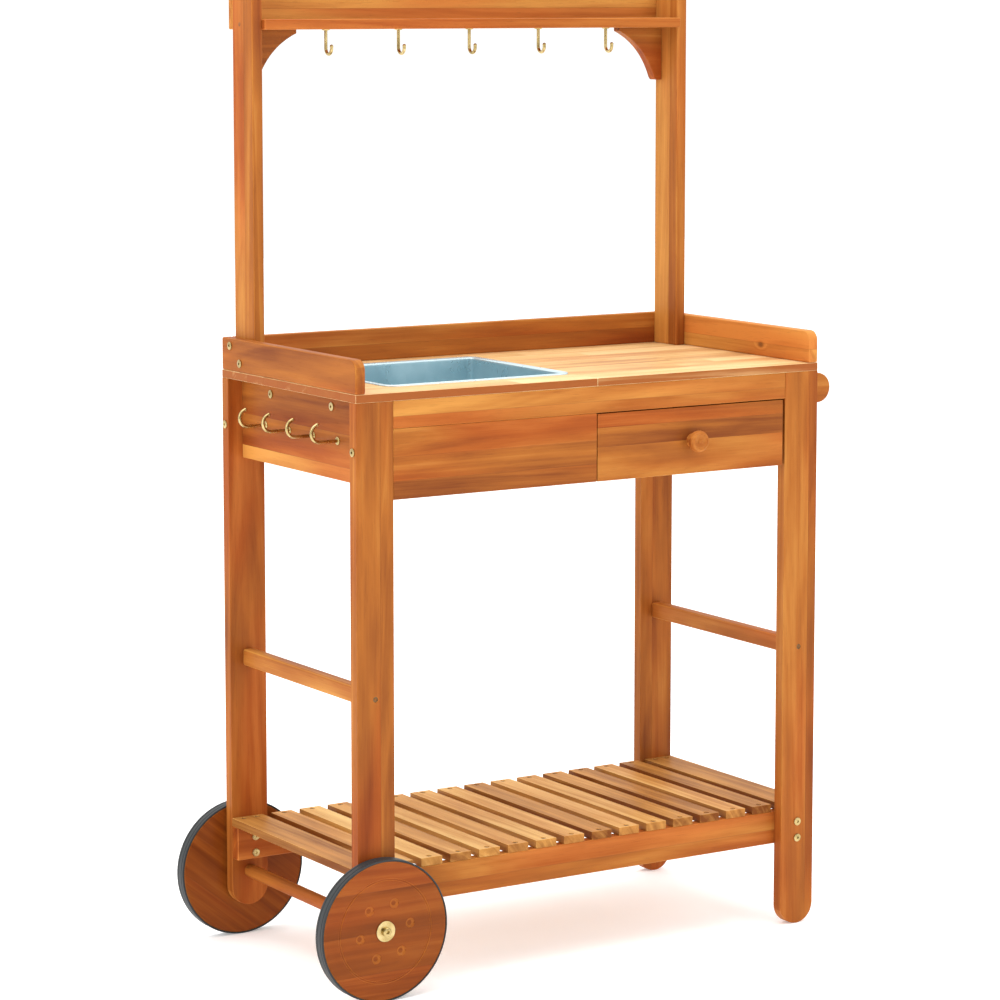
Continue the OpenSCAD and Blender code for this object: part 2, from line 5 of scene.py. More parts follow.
import bmesh
import bpy
from mathutils import Matrix, Vector


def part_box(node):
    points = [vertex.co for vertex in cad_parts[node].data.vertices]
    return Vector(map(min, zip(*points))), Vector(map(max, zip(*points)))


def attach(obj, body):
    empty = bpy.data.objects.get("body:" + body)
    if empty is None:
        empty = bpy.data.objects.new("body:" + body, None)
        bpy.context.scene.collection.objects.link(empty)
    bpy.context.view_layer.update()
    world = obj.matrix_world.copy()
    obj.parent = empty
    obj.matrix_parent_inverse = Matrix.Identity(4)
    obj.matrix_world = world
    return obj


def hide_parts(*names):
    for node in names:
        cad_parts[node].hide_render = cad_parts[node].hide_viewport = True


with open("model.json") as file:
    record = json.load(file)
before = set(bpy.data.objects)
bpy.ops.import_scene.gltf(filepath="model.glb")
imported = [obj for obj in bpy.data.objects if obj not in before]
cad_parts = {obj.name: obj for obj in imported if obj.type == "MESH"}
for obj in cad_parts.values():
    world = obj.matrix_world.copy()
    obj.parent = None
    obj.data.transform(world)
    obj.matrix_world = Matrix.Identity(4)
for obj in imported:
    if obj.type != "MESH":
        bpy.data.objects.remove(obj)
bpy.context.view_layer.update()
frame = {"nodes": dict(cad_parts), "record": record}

MM = 0.001
X, Y, Z = 0, 1, 2
SHARP_ANGLE = math.radians(30)      # edges sharper than this are rounded over
SOFT_ANGLE = math.radians(42)       # faces closer than this share a smooth normal
BODY_OF = {node: body for body, nodes in frame["record"]["behaviour"]["bodies"].items() for node in nodes}
SLOT_OF = {part["node"]: part["material_slot"] for part in frame["record"]["subparts"]}


# ---------------------------------------------------------------- camera, light and floor

def make_camera():
    lens = bpy.data.cameras.new("camera")
    lens.lens = 123.64
    lens.sensor_width = 36
    lens.shift_y = -0.09
    lens.clip_end = 60
    camera = bpy.data.objects.new("camera", lens)
    camera.location = (-2.7266, -4.2794, 1.4066)
    camera.rotation_euler = (math.radians(90 - 6.887), 0, math.radians(-32.285))
    bpy.context.scene.collection.objects.link(camera)
    bpy.context.scene.camera = camera


def softbox(name, place, aim, width, height, power, tint=(1, 1, 1)):
    """A rectangular studio light at a place, facing a point."""
    lamp = bpy.data.lights.new(name, "AREA")
    lamp.shape = "RECTANGLE"
    lamp.size = width
    lamp.size_y = height
    lamp.energy = power
    lamp.color = tint
    light = bpy.data.objects.new(name, lamp)
    light.location = place
    light.rotation_euler = (Vector(aim) - Vector(place)).to_track_quat("-Z", "Y").to_euler()
    bpy.context.scene.collection.objects.link(light)


def make_studio():
    """White surroundings that dim towards the front, and softboxes overhead, left and in front."""
    scene = bpy.context.scene
    scene.view_settings.view_transform = "Standard"
    world = bpy.data.worlds.new("studio")
    world.use_nodes = True
    tree = world.node_tree
    tree.nodes["Background"].inputs["Color"].default_value = (1, 1, 1, 1)
    direction = add(tree, "ShaderNodeTexCoord").outputs["Generated"]
    frontward = add(tree, "ShaderNodeVectorMath", {0: direction, 1: (-0.5, -0.85, 0.1)},
                    operation="DOT_PRODUCT").outputs["Value"]
    height = add(tree, "ShaderNodeSeparateXYZ", {0: direction}).outputs[2]
    strength = calc(tree, "MULTIPLY", between(tree, frontward, -0.2, 0.9, 1.1, 0.4),
                    between(tree, height, 0.1, 1.0, 1.0, 1.8))
    tree.links.new(strength, tree.nodes["Background"].inputs["Strength"])
    scene.world = world
    middle = (0, 0, 0.8)
    softbox("overhead", (-0.4, -0.5, 3.6), (0, 0, 0.7), 3.2, 3.2, 50)
    softbox("left", (-3.6, -0.8, 2.2), middle, 2.2, 2.6, 52)
    softbox("front", (1.2, -3.8, 2.0), middle, 2.2, 2.4, 40)


def make_floor():
    half = 12
    corners = [(-half, -half, 0), (half, -half, 0), (half, half, 0), (-half, half, 0)]
    mesh = bpy.data.meshes.new("floor")
    mesh.from_pydata(corners, [], [(0, 1, 2, 3)])
    floor = bpy.data.objects.new("floor", mesh)
    bpy.context.scene.collection.objects.link(floor)
    finish = bpy.data.materials.new("pale_floor")
    finish.use_nodes = True
    shader = finish.node_tree.nodes["Principled BSDF"]
    shader.inputs["Base Color"].default_value = (0.93, 0.93, 0.93, 1)
    shader.inputs["Roughness"].default_value = 0.9
    shader.inputs["Emission Color"].default_value = (1, 1, 1, 1)
    shader.inputs["Emission Strength"].default_value = 0.25
    mesh.materials.append(finish)


# ---------------------------------------------------------------- node trees

def add(tree, kind, inputs=None, **settings):
    """A node with its settings; an input is a value, or another node's output socket."""
    made = tree.nodes.new(kind)
    for key, value in settings.items():
        setattr(made, key, value)
    for key, value in (inputs or {}).items():
        if isinstance(value, bpy.types.NodeSocket):
            tree.links.new(value, made.inputs[key])
        else:
            made.inputs[key].default_value = value
    return made


def calc(tree, operation, a, b=0.0, clamp=False):
    node = add(tree, "ShaderNodeMath", {0: a, 1: b}, operation=operation, use_clamp=clamp)
    return node.outputs[0]


def vector_calc(tree, operation, a, b):
    return add(tree, "ShaderNodeVectorMath", {0: a, 1: b}, operation=operation).outputs[0]


def attribute(tree, name):
    return add(tree, "ShaderNodeAttribute", attribute_name=name)


def noise(tree, place, scale, detail=2.0, roughness=0.5):
    """Noise stretched by a scale for each axis; its value runs from 0 to 1."""
    stretched = vector_calc(tree, "MULTIPLY", place, scale)
    inputs = {"Vector": stretched, "Scale": 1.0, "Detail": detail, "Roughness": roughness}
    return add(tree, "ShaderNodeTexNoise", inputs).outputs[0]


def between(tree, value, low, high, to_low=0.0, to_high=1.0):
    """Maps low to high smoothly onto to_low to to_high."""
    inputs = {"Value": value, "From Min": low, "From Max": high, "To Min": to_low, "To Max": to_high}
    return add(tree, "ShaderNodeMapRange", inputs, interpolation_type="SMOOTHSTEP").outputs[0]


def blend_colour(tree, factor, a, b, mode="MIX"):
    inputs = {0: factor, 6: a, 7: b}
    return add(tree, "ShaderNodeMix", inputs, data_type="RGBA", blend_type=mode).outputs[2]


def ramp(tree, factor, stops):
    """A colour ramp through (place, colour) stops."""
    node = add(tree, "ShaderNodeValToRGB", {0: factor})
    elements = node.color_ramp.elements
    while len(elements) < len(stops):
        elements.new(0.5)
    for element, (place, colour) in zip(elements, stops):
        element.position = place
        element.color = (*colour, 1)
    return node.outputs[0]


def blank_material(name):
    """A material with only its shader, and that shader's node tree."""
    material = bpy.data.materials.new(name)
    material.use_nodes = True
    tree = material.node_tree
    return material, tree, tree.nodes["Principled BSDF"]


def bump(tree, shader, height, strength, distance):
    inputs = {"Height": height, "Strength": strength, "Distance": distance}
    tree.links.new(add(tree, "ShaderNodeBump", inputs).outputs[0], shader.inputs["Normal"])


# ---------------------------------------------------------------- finishes

def oiled_wood(name, colours, contrast=1.0, red=1.0, gloss=0.48, coat=0.06):
    """Oiled acacia: growth rings, streaks, pores, seams between glued staves, and knots.

    Every wooden piece carries what this reads: grain is a place in the stave, along, across
    and through it, measured from the heart of its tree; tone is how light the stave is; seam
    is the distance to the stave's edges; knot is a place round a knot, in knot radii. Copies
    in a row add their own shift and shade."""
    material, tree, shader = blank_material(name)
    dark, middle, light = colours
    place = vector_calc(tree, "ADD", attribute(tree, "grain").outputs["Vector"],
                        attribute(tree, "shift").outputs["Vector"])
    tone = calc(tree, "ADD", attribute(tree, "tone").outputs["Fac"],
                attribute(tree, "shade").outputs["Fac"])
    knot = add(tree, "ShaderNodeSeparateXYZ", {0: attribute(tree, "knot").outputs["Vector"]})
    knot_flat = add(tree, "ShaderNodeCombineXYZ",
                    {0: calc(tree, "MULTIPLY", knot.outputs[0], 0.6), 1: knot.outputs[1]})
    knot_distance = add(tree, "ShaderNodeVectorMath", {0: knot_flat.outputs[0]},
                        operation="LENGTH").outputs["Value"]

    sway = noise(tree, place, (2.2, 9, 9), detail=1.5)
    sway = calc(tree, "MULTIPLY", calc(tree, "SUBTRACT", sway, 0.5), 0.022)
    axes = add(tree, "ShaderNodeSeparateXYZ", {0: place})
    around = add(tree, "ShaderNodeCombineXYZ", {0: axes.outputs[1], 1: axes.outputs[2]})
    radius = add(tree, "ShaderNodeVectorMath", {0: around.outputs[0]}, operation="LENGTH").outputs["Value"]
    radius = calc(tree, "ADD", radius, calc(tree, "MULTIPLY", axes.outputs[0], 0.02))
    radius = calc(tree, "ADD", radius, sway)
    radius = calc(tree, "ADD", radius, between(tree, knot_distance, 0.6, 4.0, 0.012, 0.0))
    rings = add(tree, "ShaderNodeTexNoise",
                {"W": calc(tree, "MULTIPLY", radius, 95.0), "Scale": 1.0, "Detail": 3.0,
                 "Roughness": 0.62}, noise_dimensions="1D").outputs[0]
    blotches = noise(tree, place, (4.5, 26, 26), detail=2.0)
    streaks = noise(tree, place, (4.0, 95, 95), detail=3.5, roughness=0.6)
    fibres = noise(tree, place, (16, 900, 900), detail=2.0)
    pores = noise(tree, place, (38, 1500, 1500), detail=1.0)
    pores = between(tree, pores, 0.64, 0.72)

    figure = calc(tree, "MULTIPLY", calc(tree, "SUBTRACT", rings, 0.5), 0.6 * contrast)
    for layer, share in ((blotches, 0.85), (streaks, 0.42), (fibres, 0.12)):
        part = calc(tree, "MULTIPLY", calc(tree, "SUBTRACT", layer, 0.5), share * contrast)
        figure = calc(tree, "ADD", figure, part)
    figure = calc(tree, "ADD", figure, calc(tree, "MULTIPLY", tone, 0.28))
    figure = calc(tree, "ADD", figure, 0.5, clamp=True)
    colour = ramp(tree, figure, [(0.0, dark), (0.5, middle), (1.0, light)])
    redness = between(tree, noise(tree, place, (2.2, 13, 13), detail=1.0), 0.42, 0.68, 0.0, red)
    colour = blend_colour(tree, redness, colour, (0.92, 0.66, 0.62, 1), "MULTIPLY")
    colour = blend_colour(tree, calc(tree, "MULTIPLY", pores, 0.25), colour, (0.10, 0.032, 0.010, 1))

    knot_rings = add(tree, "ShaderNodeTexNoise",
                     {"W": calc(tree, "MULTIPLY", knot_distance, 7.0), "Scale": 1.0, "Detail": 1.0},
                     noise_dimensions="1D").outputs[0]
    knot_dark = between(tree, knot_distance, 0.6, 1.8, 0.75, 0.0)
    knot_dark = calc(tree, "MULTIPLY", knot_dark, between(tree, knot_rings, 0.25, 0.6, 0.5, 1.0))
    colour = blend_colour(tree, knot_dark, colour, (0.085, 0.028, 0.010, 1))

    seam = add(tree, "ShaderNodeSeparateXYZ", {0: attribute(tree, "seam").outputs["Vector"]})
    seam_distance = calc(tree, "MINIMUM", seam.outputs[0], seam.outputs[1])
    seam_line = between(tree, seam_distance, 0.0002, 0.0007, 1.0, 0.0)
    colour = blend_colour(tree, calc(tree, "MULTIPLY", seam_line, 0.45), colour, (0.12, 0.04, 0.014, 1))
    tree.links.new(colour, shader.inputs["Base Color"])

    rough = calc(tree, "ADD", calc(tree, "MULTIPLY", streaks, 0.16), gloss - 0.06)
    rough = calc(tree, "ADD", rough, calc(tree, "MULTIPLY", pores, 0.15))
    tree.links.new(rough, shader.inputs["Roughness"])
    shader.inputs["Specular IOR Level"].default_value = 0.06
    shader.inputs["Coat Weight"].default_value = coat
    shader.inputs["Coat Roughness"].default_value = 0.25
    height = calc(tree, "ADD", calc(tree, "MULTIPLY", fibres, 0.5), calc(tree, "MULTIPLY", streaks, 0.4))
    height = calc(tree, "SUBTRACT", height, calc(tree, "MULTIPLY", pores, 0.8))
    height = calc(tree, "SUBTRACT", height, calc(tree, "MULTIPLY", seam_line, 1.2))
    bump(tree, shader, height, 0.35, 0.0003)
    return material


def plated_brass():
    """Bright yellow plating with faint clouding, for hooks, screws, bolts and washers."""
    material, tree, shader = blank_material("brass")
    place = add(tree, "ShaderNodeTexCoord").outputs["Object"]
    cloud = noise(tree, place, (60, 60, 60), detail=3.0)
    fine = noise(tree, place, (900, 900, 900), detail=2.0)
    colour = ramp(tree, cloud, [(0.25, (0.26, 0.19, 0.07)), (0.5, (0.48, 0.36, 0.15)), (0.8, (0.72, 0.58, 0.30))])
    tree.links.new(colour, shader.inputs["Base Color"])
    shader.inputs["Metallic"].default_value = 1.0
    tree.links.new(between(tree, cloud, 0.2, 0.8, 0.2, 0.34), shader.inputs["Roughness"])
    bump(tree, shader, fine, 0.06, 0.0001)
    return material


def painted_shade_plating():
    """A bronze plating painted dark as the shade of the screws sunk below the wood; the flush screws share it."""
    material, tree, shader = blank_material("painted_shade_plating")
    # painted shade: the screw heads are coloured dark like the shade in their holes
    place = add(tree, "ShaderNodeTexCoord").outputs["Object"]
    cloud = noise(tree, place, (260, 260, 260), detail=2.0)
    colour = ramp(tree, cloud, [(0.3, (0.11, 0.055, 0.022)), (0.7, (0.24, 0.14, 0.06))])
    tree.links.new(colour, shader.inputs["Base Color"])
    shader.inputs["Metallic"].default_value = 0.85
    tree.links.new(between(tree, cloud, 0.2, 0.8, 0.38, 0.55), shader.inputs["Roughness"])
    return material


def galvanised():
    """Hot-dipped sheet: pale blue-grey with soft overlapping spangles, and a painted highlight on the rolled rim."""
    material, tree, shader = blank_material("galvanised_sheet")
    place = add(tree, "ShaderNodeTexCoord").outputs["Object"]
    drift = noise(tree, place, (22, 22, 22), detail=2.0)
    bent = vector_calc(tree, "ADD", place, vector_calc(tree, "MULTIPLY", drift, (0.012, 0.012, 0.012)))
    crystals = add(tree, "ShaderNodeTexVoronoi", {"Vector": bent, "Scale": 75.0, "Randomness": 1.0})
    spangle = add(tree, "ShaderNodeSeparateXYZ", {0: crystals.outputs["Color"]}).outputs[0]
    cloud = noise(tree, place, (12, 12, 12), detail=3.0)
    factor = calc(tree, "ADD", calc(tree, "MULTIPLY", spangle, 0.08), calc(tree, "MULTIPLY", cloud, 0.92))
    colour = ramp(tree, factor, [(0.2, (0.31, 0.47, 0.53)), (0.5, (0.40, 0.58, 0.64)), (0.85, (0.54, 0.71, 0.76))])
    # painted highlight: the band at the top of the rolled rim is painted a lighter, even blue-grey
    level = add(tree, "ShaderNodeSeparateXYZ", {0: place}).outputs[2]
    rim = between(tree, level, 0.8555, 0.8595)
    colour = blend_colour(tree, rim, colour, (0.52, 0.66, 0.70, 1))
    tree.links.new(colour, shader.inputs["Base Color"])
    shader.inputs["Metallic"].default_value = 0.6
    tree.links.new(between(tree, factor, 0.2, 0.8, 0.24, 0.34), shader.inputs["Roughness"])
    fine = noise(tree, place, (700, 700, 700), detail=2.0)
    bump(tree, shader, fine, 0.06, 0.0002)
    return material


def rubber():
    """Dark grey rubber, slightly dusty, with a fine moulded grain."""
    material, tree, shader = blank_material("tyre_rubber")
    place = add(tree, "ShaderNodeTexCoord").outputs["Object"]
    dust = noise(tree, place, (18, 18, 18), detail=4.0, roughness=0.6)
    colour = ramp(tree, dust, [(0.3, (0.012, 0.014, 0.015)), (0.75, (0.032, 0.036, 0.037))])
    tree.links.new(colour, shader.inputs["Base Color"])
    tree.links.new(between(tree, dust, 0.3, 0.8, 0.42, 0.6), shader.inputs["Roughness"])
    shader.inputs["Specular IOR Level"].default_value = 0.35
    bump(tree, shader, noise(tree, place, (1200, 1200, 1200), detail=1.0), 0.25, 0.0002)
    return material


def make_finishes():
    frame_tones = [(0.15, 0.032, 0.008), (0.38, 0.120, 0.020), (0.62, 0.28, 0.060)]
    pale_tones = [(0.32, 0.095, 0.022), (0.67, 0.41, 0.17), (0.88, 0.67, 0.36)]
    slat_tones = [(0.18, 0.050, 0.008), (0.54, 0.25, 0.060), (0.84, 0.55, 0.20)]
    wheel_tones = [(0.10, 0.018, 0.002), (0.25, 0.060, 0.007), (0.44, 0.14, 0.022)]
    return {
        "frame_wood": oiled_wood("frame_wood", frame_tones),
        "pale_wood": oiled_wood("pale_wood", pale_tones, contrast=0.8, red=0.35),
        "slat_wood": oiled_wood("slat_wood", slat_tones, contrast=0.9, red=0.2),
        "wheel_wood": oiled_wood("wheel_wood", wheel_tones, red=0.6, gloss=0.40, coat=0.12),
        "tyre_rubber": rubber(),
        "galvanised_sheet": galvanised(),
        "brass": plated_brass(),
        "painted_shade_plating": painted_shade_plating(),
    }


# ---------------------------------------------------------------- shaping solids

def in_space(axis, level, u, v):
    """The point at a level along an axis, with u and v along the two other axes in order."""
    point = [u, v]
    point.insert(axis, level)
    return Vector(point)


def extruded(outline, axis, start, end):
    """A closed solid: an outline in the two other axes, run along one axis."""
    bm = bmesh.new()
    low = [bm.verts.new(in_space(axis, start, u, v)) for u, v in outline]
    high = [bm.verts.new(in_space(axis, end, u, v)) for u, v in outline]
    bm.faces.new(low)
    bm.faces.new(high)
    for i in range(len(outline)):
        j = (i + 1) % len(outline)
        bm.faces.new((low[i], low[j], high[j], high[i]))
    bmesh.ops.recalc_face_normals(bm, faces=bm.faces)
    return bm


def turned(profile, axis, centre, steps=64, ring=False):
    """A solid turned about an axis through centre: the profile is (radius, place along the axis).

    A ring's profile is closed; any other starts and ends on the axis."""
    bm = bmesh.new()
    rows = []
    for radius, along in profile:
        count = 1 if radius < 1e-7 else steps
        row = []
        for i in range(count):
            angle = 2 * math.pi * i / steps
            point = in_space(axis, along, radius * math.cos(angle), radius * math.sin(angle))
            row.append(bm.verts.new(point + Vector(centre)))
        rows.append(row)
    pairs = list(zip(rows, rows[1:])) + ([(rows[-1], rows[0])] if ring else [])
    for a, b in pairs:
        for i in range(steps):
            j = (i + 1) % steps
            corners = [a[i % len(a)], a[j % len(a)], b[j % len(b)], b[i % len(b)]]
            kept = list(dict.fromkeys(corners))
            if len(kept) > 2:
                bm.faces.new(kept)
    bmesh.ops.recalc_face_normals(bm, faces=bm.faces)
    return bm


def arc(centre_u, centre_v, radius, start, end, steps):
    """Points of an arc, from one angle to another in degrees."""
    angles = [math.radians(start + (end - start) * i / steps) for i in range(steps + 1)]
    return [(centre_u + radius * math.cos(a), centre_v + radius * math.sin(a)) for a in angles]


def rounded_rect(u0, v0, u1, v1, radius, steps=8):
    points = []
    for u, v, start in ((u1, v0, -90), (u1, v1, 0), (u0, v1, 90), (u0, v0, 180)):
        centre_u = u - radius if u == u1 else u + radius
        centre_v = v - radius if v == v1 else v + radius
        points += arc(centre_u, centre_v, radius, start, start + 90, steps)
    return points


def cut_away(bm, *cutters):
    """The solid with each cutter's shape taken out."""
    block = mesh_object("block", to_mesh(bm, "block"))
    tools = [mesh_object("cutter", to_mesh(cutter, "cutter")) for cutter in cutters]
    for tool in tools:
        cut = block.modifiers.new("cut", "BOOLEAN")
        cut.operation = "DIFFERENCE"
        cut.solver = "EXACT"
        cut.object = tool
    result = bmesh.new()
    result.from_mesh(evaluated_mesh(block))
    for obj in [block, *tools]:
        bpy.data.objects.remove(obj)
    bmesh.ops.remove_doubles(result, verts=result.verts, dist=1e-6)
    flat = math.radians(0.5)
    bmesh.ops.dissolve_limit(result, angle_limit=flat, verts=result.verts, edges=result.edges)
    return result


def round_over(bm, radius, segments=3):
    """Rounds every sharp edge."""
    edges = [e for e in bm.edges if e.is_manifold and e.calc_face_angle(0) > SHARP_ANGLE]
    bmesh.ops.bevel(bm, geom=edges, offset=radius, segments=segments, profile=0.5,
                    affect="EDGES", clamp_overlap=True)
    bmesh.ops.recalc_face_normals(bm, faces=bm.faces)
    return bm


def to_mesh(bm, name):
    mesh = bpy.data.meshes.new(name)
    bm.to_mesh(mesh)
    bm.free()
    return mesh


def mesh_object(name, mesh):
    obj = bpy.data.objects.new(name, mesh)
    bpy.context.scene.collection.objects.link(obj)
    return obj


def evaluated_mesh(obj):
    depsgraph = bpy.context.evaluated_depsgraph_get()
    return bpy.data.meshes.new_from_object(obj.evaluated_get(depsgraph), depsgraph=depsgraph)


def soften(mesh):
    """Smooth shading that keeps flat faces flat: a corner leans to its largest faces."""
    for polygon in mesh.polygons:
        polygon.use_smooth = True
    bm = bmesh.new()
    bm.from_mesh(mesh)
    area = [face.calc_area() for face in bm.faces]
    limit = math.cos(SOFT_ANGLE)
    normals = []
    for face in bm.faces:
        for loop in face.loops:
            total = Vector()
            for other in loop.vert.link_faces:
                if other.normal.dot(face.normal) > limit:
                    total += other.normal * area[other.index]
            normals.append(total.normalized() if total.length > 0 else face.normal.copy())
    bm.free()
    mesh.normals_split_custom_set(normals)


def joined(*solids):
    """Several solids as one."""
    whole = bmesh.new()
    for bm in solids:
        whole.from_mesh(to_mesh(bm, "part"))
    return whole


def piece(name, source, finish, body, nodes):
    """The finished piece: softened, painted, riding on its body in place of its CAD nodes."""
    mesh = source if isinstance(source, bpy.types.Mesh) else to_mesh(source, name)
    mesh.name = name
    soften(mesh)
    mesh.materials.clear()
    mesh.materials.append(FINISH[finish])
    obj = mesh_object(name, mesh)
    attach(obj, body)
    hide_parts(*nodes)
    return obj


# ---------------------------------------------------------------- staves and grain

END_TONE = -0.9                     # end grain drinks more oil and is darker


def random_rows(width, seed, typical):
    """Stave widths and tones across a board."""
    dice = random.Random(seed)
    count = max(1, round(width / typical))
    weights = [dice.uniform(0.75, 1.25) for _ in range(count)]
    return [(width * w / sum(weights), dice.uniform(-0.5, 0.5)) for w in weights]


def lay_staves(bm, name, along, across, rows=None, typical=0.055, joint=0.0, knot=None, turn=None,
               edge_tone=0.0, end_tone=END_TONE, painted_edge_highlight=0.0):
    """Glues a board up from staves and writes what the wood finish reads.

    Rows are (width, tone) from the board's low side; joint is the typical length between end
    joints, 0 for none; knot is (place along, place across, radius); turn is an (angle, centre,
    axis) that leans the staves; the last three arguments are the tones added to the long edges
    as painted shade, to the ends, and to the rounded corners as painted highlight."""
    dice = random.Random(name)
    through = 3 - along - across
    lean = Matrix.Identity(4)
    if turn:
        angle, centre, axis = turn
        spin = Matrix.Rotation(math.radians(angle), 4, "XYZ"[axis])
        lean = Matrix.Translation(centre) @ spin @ Matrix.Translation(-Vector(centre))
    upright = lean.inverted()
    bm.transform(upright)
    low = Vector([min(v.co[k] for v in bm.verts) for k in range(3)])
    high = Vector([max(v.co[k] for v in bm.verts) for k in range(3)])
    rows = rows or random_rows(high[across] - low[across], name, typical)
    edges = [low[across]]
    for width, _ in rows:
        edges.append(edges[-1] + width)
    edges[-1] = high[across]
    for edge in edges[1:-1]:
        cut_plane(bm, list(bm.faces), across, edge)

    ends = []
    for i in range(len(rows)):
        marks = [low[along]]
        if joint:
            mark = low[along] + joint * dice.uniform(0.25, 1.0)
            while mark < high[along] - 0.3 * joint:
                marks.append(mark)
                row = [f for f in bm.faces if edges[i] < f.calc_center_median()[across] < edges[i + 1]]
                cut_plane(bm, row, along, mark)
                mark += joint * dice.uniform(0.7, 1.3)
        ends.append(marks)

    grain = bm.loops.layers.float_vector.new("grain")
    seam = bm.loops.layers.float_vector.new("seam")
    knots = bm.loops.layers.float_vector.new("knot")
    tone = bm.loops.layers.float.new("tone")
    draws = {}
    far = 1.0
    bm.normal_update()
    for face in bm.faces:
        centre = face.calc_center_median()
        darker = end_tone if abs(face.normal[along]) > 0.8 else 0
        # painted shade: the long side faces get a darker tone than the top
        if abs(face.normal[across]) > 0.8:
            darker = edge_tone
        # painted highlight: rounded and slanted faces get a lighter tone
        if max(abs(c) for c in face.normal) < 0.95:
            darker = painted_edge_highlight
        i = max(k for k in range(len(rows)) if k == 0 or centre[across] > edges[k])
        j = max(k for k in range(len(ends[i])) if k == 0 or centre[along] > ends[i][k])
        if (i, j) not in draws:
            own = random.Random(f"{name} {i} {j}")
            shade = rows[i][1] + (own.uniform(-0.25, 0.25) if j else 0)
            draws[i, j] = (Vector((own.uniform(0, 9), own.uniform(-0.03, 0.03), own.uniform(0.02, 0.08))), shade)
        heart, shade = draws[i, j]
        for loop in face.loops:
            co = loop.vert.co
            loop[grain] = Vector((co[along], co[across] - edges[i], co[through] - low[through])) + heart
            from_row = co[across] - edges[i] if i else far
            from_end = co[along] - ends[i][j] if j else far
            loop[seam] = Vector((from_row, from_end, 0))
            loop[tone] = shade + darker
            if knot:
                loop[knots] = Vector((co[along] - knot[0], co[across] - knot[1], 0)) / knot[2]
            else:
                loop[knots] = Vector((far * 99, far * 99, 0))
    bm.transform(lean)
    return bm


def cut_plane(bm, faces, axis, level):
    """Cuts some faces along a plane across an axis, leaving the solid whole."""
    edges = {e for f in faces for e in f.edges}
    verts = {v for f in faces for v in f.verts}
    normal = Vector([1.0 if k == axis else 0.0 for k in range(3)])
    bmesh.ops.bisect_plane(bm, geom=[*faces, *edges, *verts], dist=1e-6, plane_co=normal * level, plane_no=normal)


# ---------------------------------------------------------------- boards

def plank_of(node):
    """A rectangular plank that fills its CAD node's box."""
    low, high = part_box(node)
    return extruded([(low.x, low.y), (high.x, low.y), (high.x, high.y), (low.x, high.y)], Z, low.z, high.z)


def board(node, along, across, shape=None, radius=1.8 * MM, **staves):
    """A finished board in place of one CAD node."""
    bm = round_over(shape or plank_of(node), radius)
    # painted highlight: the rounded corners of every board get a lighter tone
    lay_staves(bm, node, along, across, painted_edge_highlight=0.7, **staves)
    slot = SLOT_OF[node]
    return piece(node + "_board", bm, slot, BODY_OF[node], [node])


def leg_shape(node):
    """A leg plank with a half-round foot."""
    low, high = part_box(node)
    half = (high.x - low.x) / 2
    outline = [(low.x, high.z), *arc(low.x + half, low.z + half, half, 180, 360, 24), (high.x, high.z)]
    return extruded(outline, Y, low.y, high.y)


def round_nosed_shape(node, nose):
    """An upright plank whose upper front corner is round."""
    low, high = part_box(node)
    outline = [(low.y, low.z), (high.y, low.z), (high.y, high.z),
               *arc(low.y + nose, high.z - nose, nose, 90, 180, 10)]
    return extruded(outline, X, low.x, high.x)


def screw_hole(place, axis, radius, depth, outward):
    """A cutter for the hole round a sunk screw's head."""
    reach = 0.002
    profile = [(0, -depth), (radius, -depth), (radius, reach), (0, reach)]
    bm = turned([(r, outward * h) for r, h in profile], axis, place, steps=24)
    return bm


SUNK = 1.0 * MM                     # how far the sunk screws lie below the wood
SUNK_HOLE = 4.1 * MM


def make_legs():
    stretcher_low, stretcher_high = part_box("stretcher_left")
    screw_z = (stretcher_low.z + stretcher_high.z) / 2
    rows = {
        "leg_front_left": [(0.038, -0.4), (0.022, -0.6)],
        "leg_back_left": [(0.06, 0.0)],
        "leg_front_right": [(0.045, 0.1), (0.015, -0.6)],
        "leg_back_right": [(0.022, -0.2), (0.038, -0.5)],
    }
    for node, tones in rows.items():
        low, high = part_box(node)
        front = "front" in node
        place = ((low.x + high.x) / 2, low.y if front else high.y, screw_z)
        hole = screw_hole(place, Y, SUNK_HOLE, SUNK + 0.4 * MM, -1 if front else 1)
        shape = cut_away(leg_shape(node), hole)
        board(node, Z, X, shape, 2.2 * MM, rows=tones)


def make_apron():
    board("apron_left", Y, Z, rows=[(0.02, 1.2), (0.047, -0.4), (0.052, -0.8)])
    board("apron_right", Y, Z, joint=0.5)
    board("apron_back", X, Z, joint=0.45)
    board("partition", Y, Z)
    board("front_top_rail", X, Z, rows=[(0.017, 0.1), (0.022, 0.6)])
    low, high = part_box("front_panel")
    board("front_panel", X, Z, rows=[(0.026, -0.75), (0.034, -0.1), (0.04, 0.0)], joint=0.4)
    board("drawer_front", X, Z, radius=1.5 * MM, rows=[(0.05, 0.0), (0.028, -0.8), (0.022, -0.3)])


def make_worktop():
    basin_low, basin_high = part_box("basin")
    rim, clearance = 9 * MM, 1.5 * MM
    low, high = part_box("worktop_left")
    gap = rim - clearance
    opening = rounded_rect(basin_low.x + gap, basin_low.y + gap, basin_high.x - gap, basin_high.y - gap, 11.5 * MM)
    shape = cut_away(plank_of("worktop_left"), extruded(opening, Z, low.z - 0.01, high.z + 0.01))
    # painted shade: the front and back edges and the ends are toned much darker than the top; the ends are darker
    # also as end grain
    board("worktop_left", X, Y, shape, 1.0 * MM, typical=0.045, joint=0.32, edge_tone=-2.2, end_tone=-2.3)
    board("worktop_right", X, Y, radius=1.0 * MM, typical=0.045, joint=0.32, edge_tone=-2.2, end_tone=-2.3)


